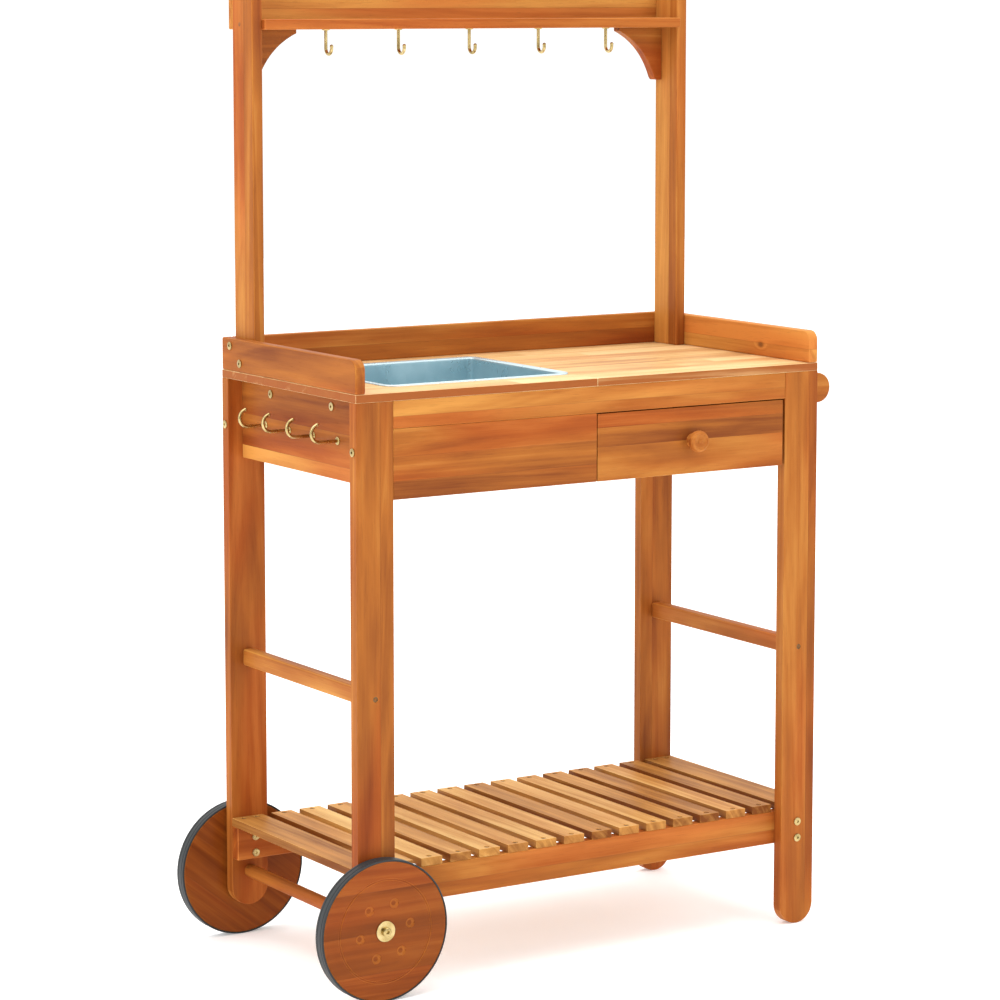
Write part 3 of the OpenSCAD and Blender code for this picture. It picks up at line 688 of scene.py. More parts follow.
def make_gallery():
    nose = 15 * MM
    board("gallery_left", Y, Z, round_nosed_shape("gallery_left", nose), 2.5 * MM, rows=[(0.048, -0.6)],
          end_tone=0.2)
    low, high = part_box("gallery_right")
    knot = (low.y + 0.31 * (high.y - low.y), low.z + 0.36 * (high.z - low.z), 3.2 * MM)
    board("gallery_right", Y, Z, round_nosed_shape("gallery_right", nose), 2.5 * MM,
          rows=[(0.02, 1.2), (0.028, 1.5)], knot=knot, end_tone=0.0)
    board("backsplash", X, Z, rows=[(0.024, -0.4), (0.024, 0.2)])


def bracket_shape(side):
    """The hollow-edged bracket between a post and the upper shelf."""
    low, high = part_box("brackets")
    width, drop, toe, lip, sag, nib = 80 * MM, 82 * MM, 14 * MM, 6 * MM, 7.5 * MM, 3 * MM
    corner_x = low.x if side < 0 else high.x
    outline = [(0, 0), (width, 0)]
    for i in range(17):
        t = i / 16
        hollow = 4 * sag * t * (1 - t)
        outline.append((width + t * (toe - width) - hollow, -lip - t * (drop - nib - 0.001 - lip) + hollow))
    outline += [(toe - nib, -drop), (0, -drop)]
    placed = [(corner_x - side * u, high.z + w) for u, w in outline]
    return extruded(placed, Y, low.y, high.y)


def make_upper_shelf():
    nose = 11 * MM
    board("post_left", Z, Y, round_nosed_shape("post_left", nose), rows=[(0.026, -0.2), (0.034, 0.4)])
    board("post_right", Z, Y, round_nosed_shape("post_right", nose), rows=[(0.02, -0.2), (0.04, 1.1)])
    board("upper_shelf", X, Y, rows=[(0.034, 0.35), (0.034, 0.0)])
    board("upper_back_board", X, Z, rows=[(0.03, 1.2), (0.028, 1.3)])
    low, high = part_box("brackets")
    screws_z = high.z - 44 * MM
    middle_y = (low.y + high.y) / 2
    halves = []
    for side in (-1, 1):
        seat_x = (low.x if side < 0 else high.x) - side * 20 * MM
        bore = turned([(0, 0), (4.05 * MM, 0), (4.05 * MM, 0.08), (0, 0.08)], X, (0, 0, 0), steps=24)
        bore.transform(Matrix.Translation((seat_x, middle_y, screws_z)) @ Matrix.Scale(-side, 4, (1, 0, 0)))
        bmesh.ops.recalc_face_normals(bore, faces=bore.faces)
        half = round_over(cut_away(bracket_shape(side), bore), 1.2 * MM)
        halves.append(lay_staves(half, f"bracket {side}", X, Z, rows=[(0.082, -0.1 + 0.15 * side)]))
    piece("shelf_brackets", joined(*halves), "frame_wood", "root", ["brackets"])


def make_lower_shelf():
    for side in ("left", "right"):
        board("stretcher_" + side, Y, Z, radius=4.0 * MM, rows=[(0.025, 0.25)])
        node = "end_slat_" + side
        holes = [screw_hole(place, Z, SUNK_HOLE, SUNK + 0.4 * MM, 1) for place in slat_screws(node)]
        # painted shade: the long sides of the end slats get a darker tone
        board(node, Y, X, cut_away(plank_of(node), *holes), 1.5 * MM, rows=[(0.052, -0.5)], edge_tone=-1.0)
    board("shelf_rail_front", X, Z, radius=2.5 * MM, rows=[(0.022, -0.1), (0.028, 0.15)])
    board("shelf_rail_back", X, Z, radius=2.5 * MM, joint=0.6)


def make_drawer_box():
    board("drawer_back", X, Z, radius=1.0 * MM)
    board("drawer_bottom", X, Y, radius=0.6 * MM)
    sides = []
    low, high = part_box("drawer_sides")
    thickness = 10 * MM
    for x0, x1 in ((low.x, low.x + thickness), (high.x - thickness, high.x)):
        side = extruded([(x0, low.y), (x1, low.y), (x1, high.y), (x0, high.y)], Z, low.z, high.z)
        sides.append(lay_staves(round_over(side, 1.2 * MM), f"drawer side {x0:.3f}", Y, Z))
    piece("drawer_side_boards", joined(*sides), "pale_wood", "drawer", ["drawer_sides"])


def make_runners():
    low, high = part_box("drawer_runners")
    left_w, right_w, front_step = 24 * MM, 43 * MM, 2 * MM
    bars = []
    for name, x0, x1, y0 in (("left", low.x, low.x + left_w, low.y),
                             ("right", high.x - right_w, high.x, low.y + front_step)):
        bar = extruded([(x0, y0), (x1, y0), (x1, high.y), (x0, high.y)], Z, low.z, high.z)
        bars.append(lay_staves(round_over(bar, 1.0 * MM), "runner " + name, Y, X))
    piece("runner_bars", joined(*bars), "frame_wood", "root", ["drawer_runners"])


# ---------------------------------------------------------------- handle, axle and knob

def round_bar(node, chamfer):
    """A turned bar along Y with softened ends, as long and thick as its CAD node."""
    low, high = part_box(node)
    radius = (high.x - low.x) / 2
    profile = [(0, low.y), (radius - chamfer, low.y), (radius, low.y + chamfer)]
    profile += [(r, high.y + low.y - y) for r, y in reversed(profile)]
    return turned(profile, Y, ((low.x + high.x) / 2, 0, (low.z + high.z) / 2), steps=48)


def make_handle():
    low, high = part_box("handle_arms")
    thickness = 18 * MM
    half = (high.z - low.z) / 2
    arms = []
    for name, y0 in (("front", low.y), ("back", high.y - thickness)):
        outline = [(low.x, high.z), (low.x, low.z), *arc(high.x - half, low.z + half, half, -90, 90, 24)]
        arm = round_over(extruded(outline, Y, y0, y0 + thickness), 2.5 * MM)
        arms.append(lay_staves(arm, "handle arm " + name, X, Z, rows=[(2 * half, 0.3)]))
    piece("handle_side_arms", joined(*arms), "frame_wood", "root", ["handle_arms"])
    bar = lay_staves(round_bar("handle_bar", 1 * MM), "handle bar", Y, Z, rows=[(0.024, 0.35)])
    piece("handle_grip_bar", bar, "frame_wood", "root", ["handle_bar"])
    bar = lay_staves(round_bar("axle_bar", 1 * MM), "axle bar", Y, Z, rows=[(0.02, -0.1)])
    piece("axle_round_bar", bar, "frame_wood", "root", ["axle_bar"])


def make_knob():
    """Turned from the foot on the drawer front: neck, rounded rim, dished face and button."""
    low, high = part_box("drawer_knob")
    rim_r = (high.x - low.x) / 2
    foot_r, neck_r, dish_r, button_r = 10 * MM, 7.5 * MM, 11.5 * MM, 4 * MM
    neck_z, rim_z, reach = 7 * MM, 17 * MM, high.y - low.y
    dish_depth, button_h = 2.5 * MM, 1.5 * MM
    profile = [(0, 0), (foot_r, 0)]
    quarter = [math.radians(90 * i / 8) for i in range(9)]
    profile += [(neck_r + (foot_r - neck_r) * math.cos(a), 0.001 + (neck_z - 0.001) * math.sin(a)) for a in quarter]
    profile += [(neck_r + (rim_r - neck_r) * math.sin(a), rim_z - (rim_z - neck_z) * math.cos(a))
                for a in quarter[1:]]
    profile += [(dish_r + (rim_r - dish_r) * math.cos(a), rim_z + (reach - rim_z) * math.sin(a))
                for a in quarter[1:]]
    profile += [(button_r + (dish_r - button_r) * math.cos(a), reach - dish_depth * math.sin(a))
                for a in quarter[1:]]
    profile += [(button_r * math.cos(a), reach - dish_depth + button_h * math.sin(a)) for a in quarter[1:]]
    centre = ((low.x + high.x) / 2, high.y, (low.z + high.z) / 2)
    bm = turned([(max(r, 0), -h) for r, h in profile], Y, centre, steps=56)
    lay_staves(bm, "knob", X, Z, rows=[(2 * rim_r, 0.7)])
    piece("turned_knob", bm, "frame_wood", "drawer", ["drawer_knob"])


# ---------------------------------------------------------------- wheels

DIMPLES = 6
DIMPLE_CIRCLE = 41 * MM
DIMPLE_R = 7.2 * MM
RING_R = 74 * MM
GROOVE_HALF = 1.8 * MM              # half width and depth of the ring groove
GROOVE_DEPTH = 1.0 * MM


def wheel_disc(node, outward):
    """A thick disc with a bolt hole, a ring groove and six round hollows on its outer face."""
    low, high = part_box(node)
    radius = (high.x - low.x) / 2
    face, back = (low.y, high.y) if outward < 0 else (high.y, low.y)
    edge = 2.2 * MM
    bore = 4.05 * MM
    groove = [(RING_R + GROOVE_HALF * math.cos(a), face - outward * GROOVE_DEPTH * math.sin(a))
              for a in (math.radians(180 - 18 * i) for i in range(11))]
    profile = [(bore, face)]
    profile += groove
    profile += [(radius - edge + edge * math.sin(a), face - outward * edge * (1 - math.cos(a)))
                for a in (math.radians(22.5 * i) for i in range(5))]
    profile += [(radius - edge + edge * math.cos(a), back + outward * edge * (1 - math.sin(a)))
                for a in (math.radians(22.5 * i) for i in range(5))]
    profile += [(bore, back)]
    centre = Vector(((low.x + high.x) / 2, 0, (low.z + high.z) / 2))
    disc = turned(profile, Y, centre, steps=120, ring=True)
    hollows = []
    for i in range(DIMPLES):
        angle = math.radians(9 + 360 / DIMPLES * i)
        place = centre + Vector((DIMPLE_CIRCLE * math.cos(angle), 0, DIMPLE_CIRCLE * math.sin(angle)))
        hollows.append(dimple_cutter(place, face, outward))
    return cut_away(disc, *hollows), centre


def dimple_cutter(place, face, outward):
    """A lens-shaped cutter that leaves a round hollow."""
    depth, lip = 3.2 * MM, 1.0 * MM
    profile = [(0, face - outward * depth)]
    profile += [(DIMPLE_R * math.sin(a), face - outward * depth * math.cos(a))
                for a in (math.radians(15 * i) for i in range(1, 7))]
    profile += [(DIMPLE_R, face + outward * lip), (0, face + outward * lip)]
    return turned(profile, Y, (place.x, 0, place.z), steps=32)


def make_wheels():
    rows = [(0.0405, -0.15), (0.058, 0.0), (0.06, -0.35), (0.0405, 0.25)]
    for name, outward, lean in (("front", -1, 0), ("back", 1, 38)):
        node = "wheel_" + name
        body = name + "_wheel"
        disc, centre = wheel_disc(node, outward)
        # painted highlight: the rounded rim, ring groove and hollows of the wheel get a lighter tone
        lay_staves(disc, node, X, Z, rows=rows, turn=(lean, centre, Y), painted_edge_highlight=1.2)
        piece(node + "_disc", disc, "wheel_wood", body, [node])
        make_tyre("tyre_" + name, body)


def make_tyre(node, body):
    """A thin rubber band with rounded shoulders and two shallow grooves round its tread."""
    low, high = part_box(node)
    outer = (high.x - low.x) / 2
    inner = outer - 2.5 * MM
    middle = (low.y + high.y) / 2
    half = (high.y - low.y) / 2
    shoulder = 1.6 * MM
    profile = [(inner, middle - half), (outer - shoulder, middle - half)]
    profile += [(outer - shoulder + shoulder * math.sin(a), middle - half + shoulder * (1 - math.cos(a)))
                for a in (math.radians(22.5 * i) for i in range(1, 5))]
    for place in (-4.5 * MM, 4.5 * MM):
        profile += [(outer, middle + place - 0.8 * MM), (outer - 0.7 * MM, middle + place - 0.4 * MM),
                    (outer - 0.7 * MM, middle + place + 0.4 * MM), (outer, middle + place + 0.8 * MM)]
    profile += [(outer - shoulder + shoulder * math.cos(a), middle + half - shoulder * (1 - math.sin(a)))
                for a in (math.radians(22.5 * i) for i in range(5))]
    profile += [(inner, middle + half)]
    bm = turned(profile, Y, ((low.x + high.x) / 2, 0, (low.z + high.z) / 2), steps=120, ring=True)
    piece(node + "_band", bm, "tyre_rubber", body, [node])


# ---------------------------------------------------------------- basin

def make_basin():
    """A pressed sheet basin: flat floor, round bottom edge, and a rim rolled over a wire."""
    low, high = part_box("basin")
    rim, wall, corner, foot = 9 * MM, 1.5 * MM, 10 * MM, 8 * MM
    x0, y0, x1, y1 = low.x + rim, low.y + rim, high.x - rim, high.y - rim
    roll = 2.4 * MM
    roll_z = high.z - roll
    section = [(0, low.z)]
    section += [(-foot + foot * math.sin(a), low.z + foot * (1 - math.cos(a)))
                for a in (math.radians(15 * i) for i in range(1, 7))]
    section += [(0, roll_z - 0.2 * MM), (rim - 2 * roll, roll_z + 0.2 * MM)]
    section += [(rim - roll + roll * math.cos(a), roll_z + roll * math.sin(a))
                for a in (math.radians(200 + 20 * i) for i in range(1, 13))]
    section += [(0.5 * MM, high.z - 0.8 * MM), (-0.8 * MM, high.z - 1.6 * MM), (-wall, high.z - 3 * MM)]
    section += [(-foot + (foot - wall) * math.cos(a), low.z + foot - (foot - wall) * math.sin(a))
                for a in (math.radians(15 * i) for i in range(0, 7))]
    section[0] = (-foot, low.z)
    bm = bmesh.new()
    loops = []
    for out, z in section:
        ring = rounded_rect(x0 - out, y0 - out, x1 + out, y1 + out, max(corner + out, 2 * MM), steps=10)
        loops.append([bm.verts.new((x, y, z)) for x, y in ring])
    for a, b in zip(loops, loops[1:]):
        for i in range(len(a)):
            j = (i + 1) % len(a)
            bm.faces.new((a[i], a[j], b[j], b[i]))
    bm.faces.new(loops[0])
    bm.faces.new(loops[-1])
    bmesh.ops.recalc_face_normals(bm, faces=bm.faces)
    piece("pressed_basin", bm, "galvanised_sheet", "basin_body", ["basin"])


# ---------------------------------------------------------------- repeated pieces

def geometry_tree(name, sockets):
    """An empty geometry tree with its inputs, and the group's input node."""
    tree = bpy.data.node_groups.new(name, "GeometryNodeTree")
    tree.interface.new_socket("Geometry", in_out="INPUT", socket_type="NodeSocketGeometry")
    for label, kind in sockets:
        tree.interface.new_socket(label, in_out="INPUT", socket_type="NodeSocket" + kind)
    tree.interface.new_socket("Geometry", in_out="OUTPUT", socket_type="NodeSocketGeometry")
    return tree, tree.nodes.new("NodeGroupInput").outputs


def close_tree(tree, instances, material):
    """Ends a tree: the instances made real and given their material."""
    real = add(tree, "GeometryNodeRealizeInstances", {"Geometry": instances}).outputs[0]
    painted = add(tree, "GeometryNodeSetMaterial", {"Geometry": real, "Material": material}).outputs[0]
    tree.links.new(painted, tree.nodes.new("NodeGroupOutput").inputs[0])
    return tree


def slat_row_tree():
    """Copies one slat along a row; each copy gets its own place in the tree and its own shade."""
    tree, given = geometry_tree("slat_row", [("Count", "Int"), ("Step", "Vector"), ("Shade spread", "Float"),
                                             ("Seed", "Int"), ("Material", "Material")])
    line = add(tree, "GeometryNodeMeshLine", {"Count": given["Count"], "Offset": given["Step"]}, mode="OFFSET")
    copies = add(tree, "GeometryNodeInstanceOnPoints", {"Points": line.outputs[0], "Instance": given["Geometry"]})
    shift = add(tree, "FunctionNodeRandomValue", {"Min": (0.0, -0.02, -0.01), "Max": (9.0, 0.02, 0.03),
                                                  "Seed": given["Seed"]}, data_type="FLOAT_VECTOR")
    shifted = add(tree, "GeometryNodeStoreNamedAttribute",
                  {"Geometry": copies.outputs[0], "Name": "shift", "Value": shift.outputs[0]},
                  data_type="FLOAT_VECTOR", domain="INSTANCE")
    roll = add(tree, "FunctionNodeRandomValue", {2: -1.0, 3: 1.0, "Seed": given["Seed"]}, data_type="FLOAT")
    shade = add(tree, "ShaderNodeMath", {0: roll.outputs[1], 1: given["Shade spread"]}, operation="MULTIPLY")
    shaded = add(tree, "GeometryNodeStoreNamedAttribute",
                 {"Geometry": shifted.outputs[0], "Name": "shade", "Value": shade.outputs[0]},
                 data_type="FLOAT", domain="INSTANCE")
    return close_tree(tree, shaded.outputs[0], given["Material"])


def bent_hook_tree():
    """Sweeps round wire along one bent line and copies the hook along a row."""
    tree, given = geometry_tree("bent_hooks", [("Wire radius", "Float"), ("Tip radius", "Float"),
                                               ("Tip", "Vector"), ("Count", "Int"), ("Step", "Vector"),
                                               ("Collar", "Object"), ("Material", "Material")])
    circle = add(tree, "GeometryNodeCurvePrimitiveCircle", {"Resolution": 20, "Radius": given["Wire radius"]})
    wire = add(tree, "GeometryNodeCurveToMesh",
               {"Curve": given["Geometry"], "Profile Curve": circle.outputs[0], "Fill Caps": True})
    ball = add(tree, "GeometryNodeMeshUVSphere", {"Segments": 20, "Rings": 12, "Radius": given["Tip radius"]})
    tip = add(tree, "GeometryNodeTransform", {"Geometry": ball.outputs[0], "Translation": given["Tip"]})
    collar = add(tree, "GeometryNodeObjectInfo", {"Object": given["Collar"]})
    hook = add(tree, "GeometryNodeJoinGeometry")
    for part in (wire.outputs[0], tip.outputs[0], collar.outputs["Geometry"]):
        tree.links.new(part, hook.inputs[0])
    line = add(tree, "GeometryNodeMeshLine", {"Count": given["Count"], "Offset": given["Step"]}, mode="OFFSET")
    row = add(tree, "GeometryNodeInstanceOnPoints", {"Points": line.outputs[0], "Instance": hook.outputs[0]})
    return close_tree(tree, row.outputs[0], given["Material"])


def fastener_tree():
    """Sets a copy of one fastener at every point, aimed along the point's aim, at a random turn."""
    tree, given = geometry_tree("fasteners", [("Fastener", "Object"), ("Seed", "Int"), ("Material", "Material")])
    pattern = add(tree, "GeometryNodeObjectInfo", {"Object": given["Fastener"]})
    aim = add(tree, "GeometryNodeInputNamedAttribute", {"Name": "aim"}, data_type="FLOAT_VECTOR")
    aimed = add(tree, "FunctionNodeAlignRotationToVector", {"Vector": aim.outputs[0]}, axis="Z")
    turn = add(tree, "FunctionNodeRandomValue", {2: 0.0, 3: 2 * math.pi, "Seed": given["Seed"]}, data_type="FLOAT")
    own_axis = add(tree, "ShaderNodeCombineXYZ", {2: turn.outputs[1]})
    twist = add(tree, "FunctionNodeRotateRotation",
                {"Rotation": aimed.outputs[0], "Rotate By": own_axis.outputs[0]}, rotation_space="LOCAL")
    copies = add(tree, "GeometryNodeInstanceOnPoints",
                 {"Points": given["Geometry"], "Instance": pattern.outputs["Geometry"], "Rotation": twist.outputs[0]})
    return close_tree(tree, copies.outputs[0], given["Material"])


def grow(base, tree, settings):
    """Runs a tree on a mesh or curve and returns the result as a plain mesh."""
    seedling = mesh_object("seedling", base)
    modifier = seedling.modifiers.new("grow", "NODES")
    modifier.node_group = tree
    for item in tree.interface.items_tree:
        if item.in_out == "INPUT" and item.name in settings:
            modifier[item.identifier] = settings[item.name]
    mesh = evaluated_mesh(seedling)
    bpy.data.objects.remove(seedling)
    return mesh


def make_slats():
    """Fourteen narrow slats, each screwed to the rails at both ends."""
    nodes = sorted(n for n in frame["nodes"] if n.startswith("slat_"))
    first_low, first_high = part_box(nodes[0])
    last_low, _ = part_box(nodes[-1])
    step = (last_low.x - first_low.x) / (len(nodes) - 1)
    holes = [screw_hole(place, Z, SUNK_HOLE, SUNK + 0.4 * MM, 1) for place in slat_screws(nodes[0])]
    slat = round_over(cut_away(plank_of(nodes[0]), *holes), 1.2 * MM)
    # painted shade: the long sides of each slat get a darker tone, between the slats
    lay_staves(slat, "slat", Y, X, rows=[(first_high.x - first_low.x, 0.0)], edge_tone=-1.2)
    settings = {"Count": len(nodes), "Step": (step, 0, 0), "Shade spread": 0.9, "Seed": 5,
                "Material": FINISH["slat_wood"]}
    mesh = grow(to_mesh(slat, "slat"), slat_row_tree(), settings)
    piece("shelf_slats", mesh, "slat_wood", "root", nodes)


def wire_line(points):
    """A poly curve through points."""
    curve = bpy.data.curves.new("wire", "CURVE")
    curve.dimensions = "3D"
    spline = curve.splines.new("POLY")
    spline.points.add(len(points) - 1)
    for spot, point in zip(spline.points, points):
        spot.co = (*point, 1)
    return curve


def collar(radius, height, axis, place, outward):
    """A small domed collar where a hook enters the wood."""
    profile = [(0, 0), (radius, 0), (radius, 0.35 * height)]
    profile += [(radius * math.cos(a), (0.35 + 0.65 * math.sin(a)) * height)
                for a in (math.radians(18 * i) for i in range(1, 6))]
    return turned([(max(r, 0), outward * h) for r, h in profile], axis, place, steps=28)


def hook_row(name, node, points, tip, collar_bm, count, step):
    pattern = mesh_object("collar", to_mesh(collar_bm, "collar"))
    settings = {"Wire radius": 2.5 * MM, "Tip radius": 2.8 * MM, "Tip": tip, "Count": count, "Step": step,
                "Collar": pattern, "Material": FINISH["brass"]}
    mesh = grow(wire_line(points), HOOKS, settings)
    bpy.data.objects.remove(pattern)
    piece(name, mesh, "brass", "root", [node])


def make_hooks():
    """Five hooks under the upper shelf and four on the left apron."""
    low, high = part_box("shelf_hooks")
    collar_r = 6 * MM
    bend, drop = 8.5 * MM, 28 * MM
    x, z = low.x + collar_r, high.z - drop
    y = high.y - collar_r
    points = [(x, y, high.z - 1 * MM)]
    points += [(x, y - bend + u, z + v) for u, v in arc(0, 0, bend, 0, -180, 24)]
    tip = (x, y - 2 * bend, z + 3 * MM)
    points.append(tip)
    cup = collar(collar_r, 2.4 * MM, Z, (x, y, high.z), -1)
    step = (high.x - low.x - 2 * collar_r) / 4
    hook_row("upper_hooks", "shelf_hooks", points, tip, cup, 5, (step, 0, 0))

    low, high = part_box("side_hooks")
    bend, reach, turn = 12.5 * MM, 30 * MM, 165
    y, z = low.y + collar_r, low.z + collar_r
    x = high.x - reach
    points = [(high.x - 1 * MM, y, z)]
    points += [(x + u, y, z + bend + v) for u, v in arc(0, 0, bend, -90, -90 - turn, 24)]
    cup = collar(collar_r, 2.4 * MM, X, (high.x, y, z), -1)
    step = (high.y - low.y - 2 * collar_r) / 3
    hook_row("apron_hooks", "side_hooks", points, points[-1], cup, 4, (0, step, 0))


def driven_head(radius, height, recess, depth, shoulder):
    """A round screw or bolt head facing +Z, its top at z = 0, with a recess for the driver.

    The shoulder is the profile from the rim down, as (radius, z); it ends on the axis."""
    bm = bmesh.new()
    steps = 24
    crown = 0.06 * radius
    rim = [(radius * math.cos(2 * math.pi * i / steps), radius * math.sin(2 * math.pi * i / steps))
           for i in range(steps)]
    outer = [bm.verts.new((x, y, -crown)) for x, y in rim]
    mouth = [bm.verts.new((x, y, 0)) for x, y in recess]
    floor = [bm.verts.new((x * 0.9, y * 0.9, -depth)) for x, y in recess]
    loops = [bm.edges.new((ring[i], ring[(i + 1) % len(ring)])) for ring in (outer, mouth) for i in range(len(ring))]
    bmesh.ops.triangle_fill(bm, edges=loops, use_beauty=True)
    for i in range(len(mouth)):
        j = (i + 1) % len(mouth)
        bm.faces.new((mouth[i], mouth[j], floor[j], floor[i]))
    bm.faces.new(floor)
    ring = outer
    for r, z in shoulder[:-1]:
        below = [bm.verts.new((x * r / radius, y * r / radius, z)) for x, y in rim]
        for i in range(steps):
            j = (i + 1) % steps
            bm.faces.new((ring[i], ring[j], below[j], below[i]))
        ring = below
    bm.faces.new(ring)
    bmesh.ops.recalc_face_normals(bm, faces=bm.faces)
    return bm


def polygon(sides, radius):
    return [(radius * math.cos(2 * math.pi * i / sides), radius * math.sin(2 * math.pi * i / sides))
            for i in range(sides)]


def cross(arm, half_width):
    """The outline of a cross-shaped recess."""
    points = []
    for turn in range(4):
        angle = math.radians(90 * turn)
        for u, v in ((half_width, half_width), (half_width, arm), (-half_width, arm)):
            points.append((u * math.cos(angle) - v * math.sin(angle), u * math.sin(angle) + v * math.cos(angle)))
    return points


def countersunk_screw():
    head_r = 3.9 * MM
    shoulder = [(head_r, -0.5 * MM), (2.0 * MM, -2.5 * MM), (1.9 * MM, -12 * MM), (0, 0)]
    return driven_head(head_r, 2.5 * MM, cross(2.2 * MM, 0.42 * MM), 1.3 * MM, shoulder)


CAP_R = 6 * MM
CAP_H = 2 * MM


def cap_bolt(shank_r, shank_l):
    """A flat round cap with a hexagon socket and a softened rim, on a shank."""
    shoulder = [(CAP_R, -0.5 * MM), (CAP_R, -CAP_H), (shank_r, -CAP_H), (shank_r, -CAP_H - shank_l), (0, 0)]
    return driven_head(CAP_R - 0.5 * MM, CAP_H, polygon(6, 2.2 * MM), 1.5 * MM, shoulder)


def point_cloud(places):
    """A mesh of loose points, each with the way it aims."""
    mesh = bpy.data.meshes.new("places")
    mesh.from_pydata([p for p, _ in places], [], [])
    aims = mesh.attributes.new("aim", "FLOAT_VECTOR", "POINT")
    for i, (_, aim) in enumerate(places):
        aims.data[i].vector = aim
    return mesh


def set_fasteners(name, pattern_bm, places, finish, node):
    pattern = mesh_object("fastener", to_mesh(pattern_bm, "fastener"))
    settings = {"Fastener": pattern, "Seed": 3, "Material": FINISH[finish]}
    mesh = grow(point_cloud(places), FASTENERS, settings)
    bpy.data.objects.remove(pattern)
    piece(name, mesh, finish, "root", [node])


def screw_places():
    """Where the sunk screws, the cap screws and the flush screws go, and how each one faces."""
    sunk, caps, flush = [], [], []
    for node in [n for n in frame["nodes"] if n.startswith(("slat_", "end_slat_"))]:
        sunk += [(*spot[:2], spot[2] - SUNK, Z, 1) for spot in slat_screws(node)]
    bar_low, bar_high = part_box("stretcher_left")
    for side, hand in ((-1, "left"), (1, "right")):
        for face, end in ((-1, "front"), (1, "back")):
            low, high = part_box(f"leg_{end}_{hand}")
            outer_y = low.y if face < 0 else high.y
            outer_x = low.x if side < 0 else high.x
            sunk.append(((low.x + high.x) / 2, outer_y - face * SUNK, (bar_low.z + bar_high.z) / 2, Y, face))
            apron_low, apron_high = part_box("apron_" + hand)
            caps.append((outer_x, (low.y + high.y) / 2, apron_low.z + 50 * MM, X, side))
            apron_x = apron_low.x if side < 0 else apron_high.x
            caps.append((apron_x, face * apron_high.y / 2, apron_high.z - 16 * MM, X, side))
        post_low, post_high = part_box("post_" + hand)
        gallery_low, gallery_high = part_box("gallery_" + hand)
        gallery_x = gallery_low.x if side < 0 else gallery_high.x
        for dy, dz in ((46 * MM, 37 * MM), (16 * MM, 13 * MM)):
            caps.append((gallery_x, post_low.y + dy, gallery_low.z + dz, X, side))
        shelf_low, shelf_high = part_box("upper_shelf")
        post_x = post_low.x if side < 0 else post_high.x
        flush.append((post_x, post_high.y - 22 * MM, (shelf_low.z + shelf_high.z) / 2, X, side))
        bracket_low, bracket_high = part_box("brackets")
        seat = (bracket_low.x if side < 0 else bracket_high.x) - side * 20 * MM
        flush.append((seat, (bracket_low.y + bracket_high.y) / 2, bracket_high.z - 44 * MM, X, -side))
    return [aimed(sunk, 0.1 * MM), aimed(caps, CAP_H), aimed(flush, 0.1 * MM)]


def slat_screws(node):
    """The places of a slat's screws on its upper face: one at each end, or two on the wide slats."""
    low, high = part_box(node)
    rail_low, rail_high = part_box("shelf_rail_front")
    rail_y = abs(rail_low.y + rail_high.y) / 2
    across = [(low.x + high.x) / 2] if node.startswith("slat_") else [low.x + 15 * MM, high.x - 15 * MM]
    return [(x, y, high.z) for x in across for y in (-rail_y, rail_y)]


def aimed(rows, proud):
    """Each place moved out to where its head ends, with the way the head faces."""
    places = []
    for x, y, z, axis, way in rows:
        aim = Vector([way if k == axis else 0 for k in range(3)])
        places.append((Vector((x, y, z)) + aim * proud, aim))
    return places


def make_screws():
    sunk, caps, flush = screw_places()
    set_fasteners("sunk_screws", countersunk_screw(), sunk, "painted_shade_plating", "wood_screws")
    set_fasteners("cap_screws", cap_bolt(2 * MM, 12 * MM), caps, "brass", "wood_screws")
    set_fasteners("flush_screws", countersunk_screw(), flush, "painted_shade_plating", "wood_screws")


def make_frame_bolts():
    """Two bolts through each leg and rail, with a cap at both ends."""
    low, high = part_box("frame_bolts")
    rail_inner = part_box("shelf_rail_front")[1].y
    places = []
    for x in (low.x + CAP_R, high.x - CAP_R):
        for z in (low.z + CAP_R, high.z - CAP_R):
            for way in (-1, 1):
                places.append(((x, way * high.y, z), Vector((0, way, 0))))
                places.append(((x, way * (-rail_inner - CAP_H), z), Vector((0, -way, 0))))
    set_fasteners("rail_bolts", cap_bolt(3 * MM, 2 * MM), places, "brass", "frame_bolts")


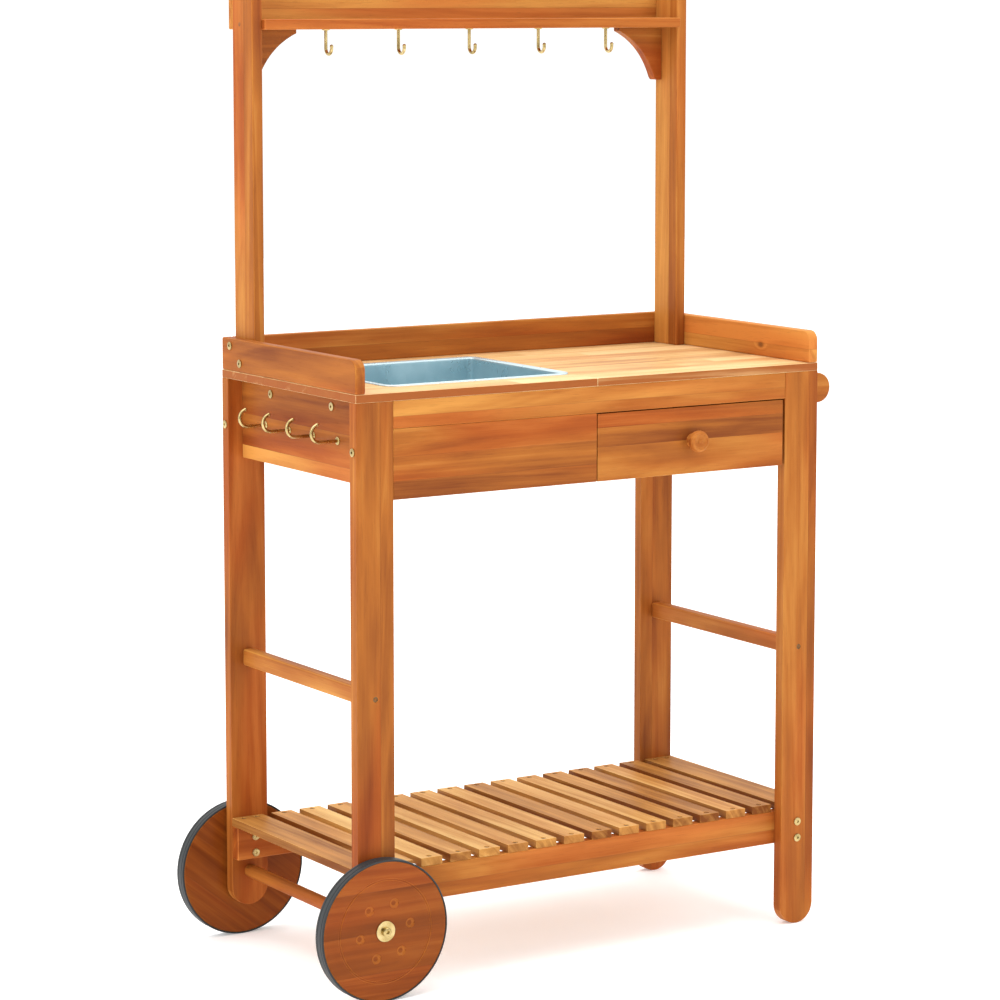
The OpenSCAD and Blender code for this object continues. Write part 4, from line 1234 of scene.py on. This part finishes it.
def make_wheel_bolts():
    """Each wheel turns on a socket bolt between two washers."""
    low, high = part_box("wheel_bolts")
    washer_r, washer_t, head_r, head_h, shank_r = 15 * MM, 1.5 * MM, 6.5 * MM, 5 * MM, 4 * MM
    centre = Vector(((low.x + high.x) / 2, 0, (low.z + high.z) / 2))
    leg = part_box("leg_front_left")[0].y
    tube = 45 * MM
    parts = []
    for way in (-1, 1):
        top = high.y
        head = driven_head(head_r - 0.6 * MM, head_h, polygon(6, 3 * MM), 3 * MM,
                           [(head_r, -0.8 * MM), (head_r, -head_h), (shank_r, -head_h), (0, 0)])
        head.transform(Matrix.Translation(centre + Vector((0, way * top, 0)))
                       @ Vector((0, way, 0)).to_track_quat("Z", "X").to_matrix().to_4x4())
        inner = abs(leg) - 18 * MM - tube
        shank = turned([(0, inner), (shank_r - 0.5 * MM, inner), (shank_r, inner + 0.5 * MM),
                        (shank_r, top - head_h), (0, top - head_h)], Y, centre, steps=32)
        shank.transform(Matrix.Scale(way, 4, (0, 1, 0)))
        bmesh.ops.recalc_face_normals(shank, faces=shank.faces)
        parts += [head, shank]
        for start in (top - head_h - washer_t, abs(leg)):
            thick = washer_t if start > abs(leg) else 3.9 * MM
            soft = 0.4 * MM
            ring = [(shank_r + 0.1 * MM, start), (washer_r - soft, start), (washer_r, start + soft),
                    (washer_r, start + thick - soft), (washer_r - soft, start + thick),
                    (shank_r + 0.1 * MM, start + thick)]
            washer = turned([(r, way * y) for r, y in ring], Y, centre, steps=64, ring=True)
            parts.append(washer)
    piece("axle_bolts", joined(*parts), "brass", "root", ["wheel_bolts"])


def make_knob_screw():
    low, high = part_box("knob_screw")
    head_r, head_h, shank_r = 4 * MM, 2 * MM, 2 * MM
    shoulder = [(head_r, -0.9 * MM), (head_r, -head_h), (shank_r, -head_h), (shank_r, low.y - high.y), (0, 0)]
    screw = driven_head(head_r - 0.7 * MM, head_h, cross(2.2 * MM, 0.45 * MM), 1.2 * MM, shoulder)
    place = Vector(((low.x + high.x) / 2, high.y, (low.z + high.z) / 2))
    screw.transform(Matrix.Translation(place) @ Vector((0, 1, 0)).to_track_quat("Z", "X").to_matrix().to_4x4())
    piece("knob_fixing_screw", screw, "brass", "drawer", ["knob_screw"])


# ---------------------------------------------------------------- the bench

make_camera()
make_studio()
make_floor()
FINISH = make_finishes()
HOOKS = bent_hook_tree()
FASTENERS = fastener_tree()

make_legs()
make_apron()
make_worktop()
make_gallery()
make_upper_shelf()
make_lower_shelf()
make_slats()
make_drawer_box()
make_runners()
make_handle()
make_knob()
make_wheels()
make_basin()
make_hooks()
make_screws()
make_frame_bolts()
make_wheel_bolts()
make_knob_screw()
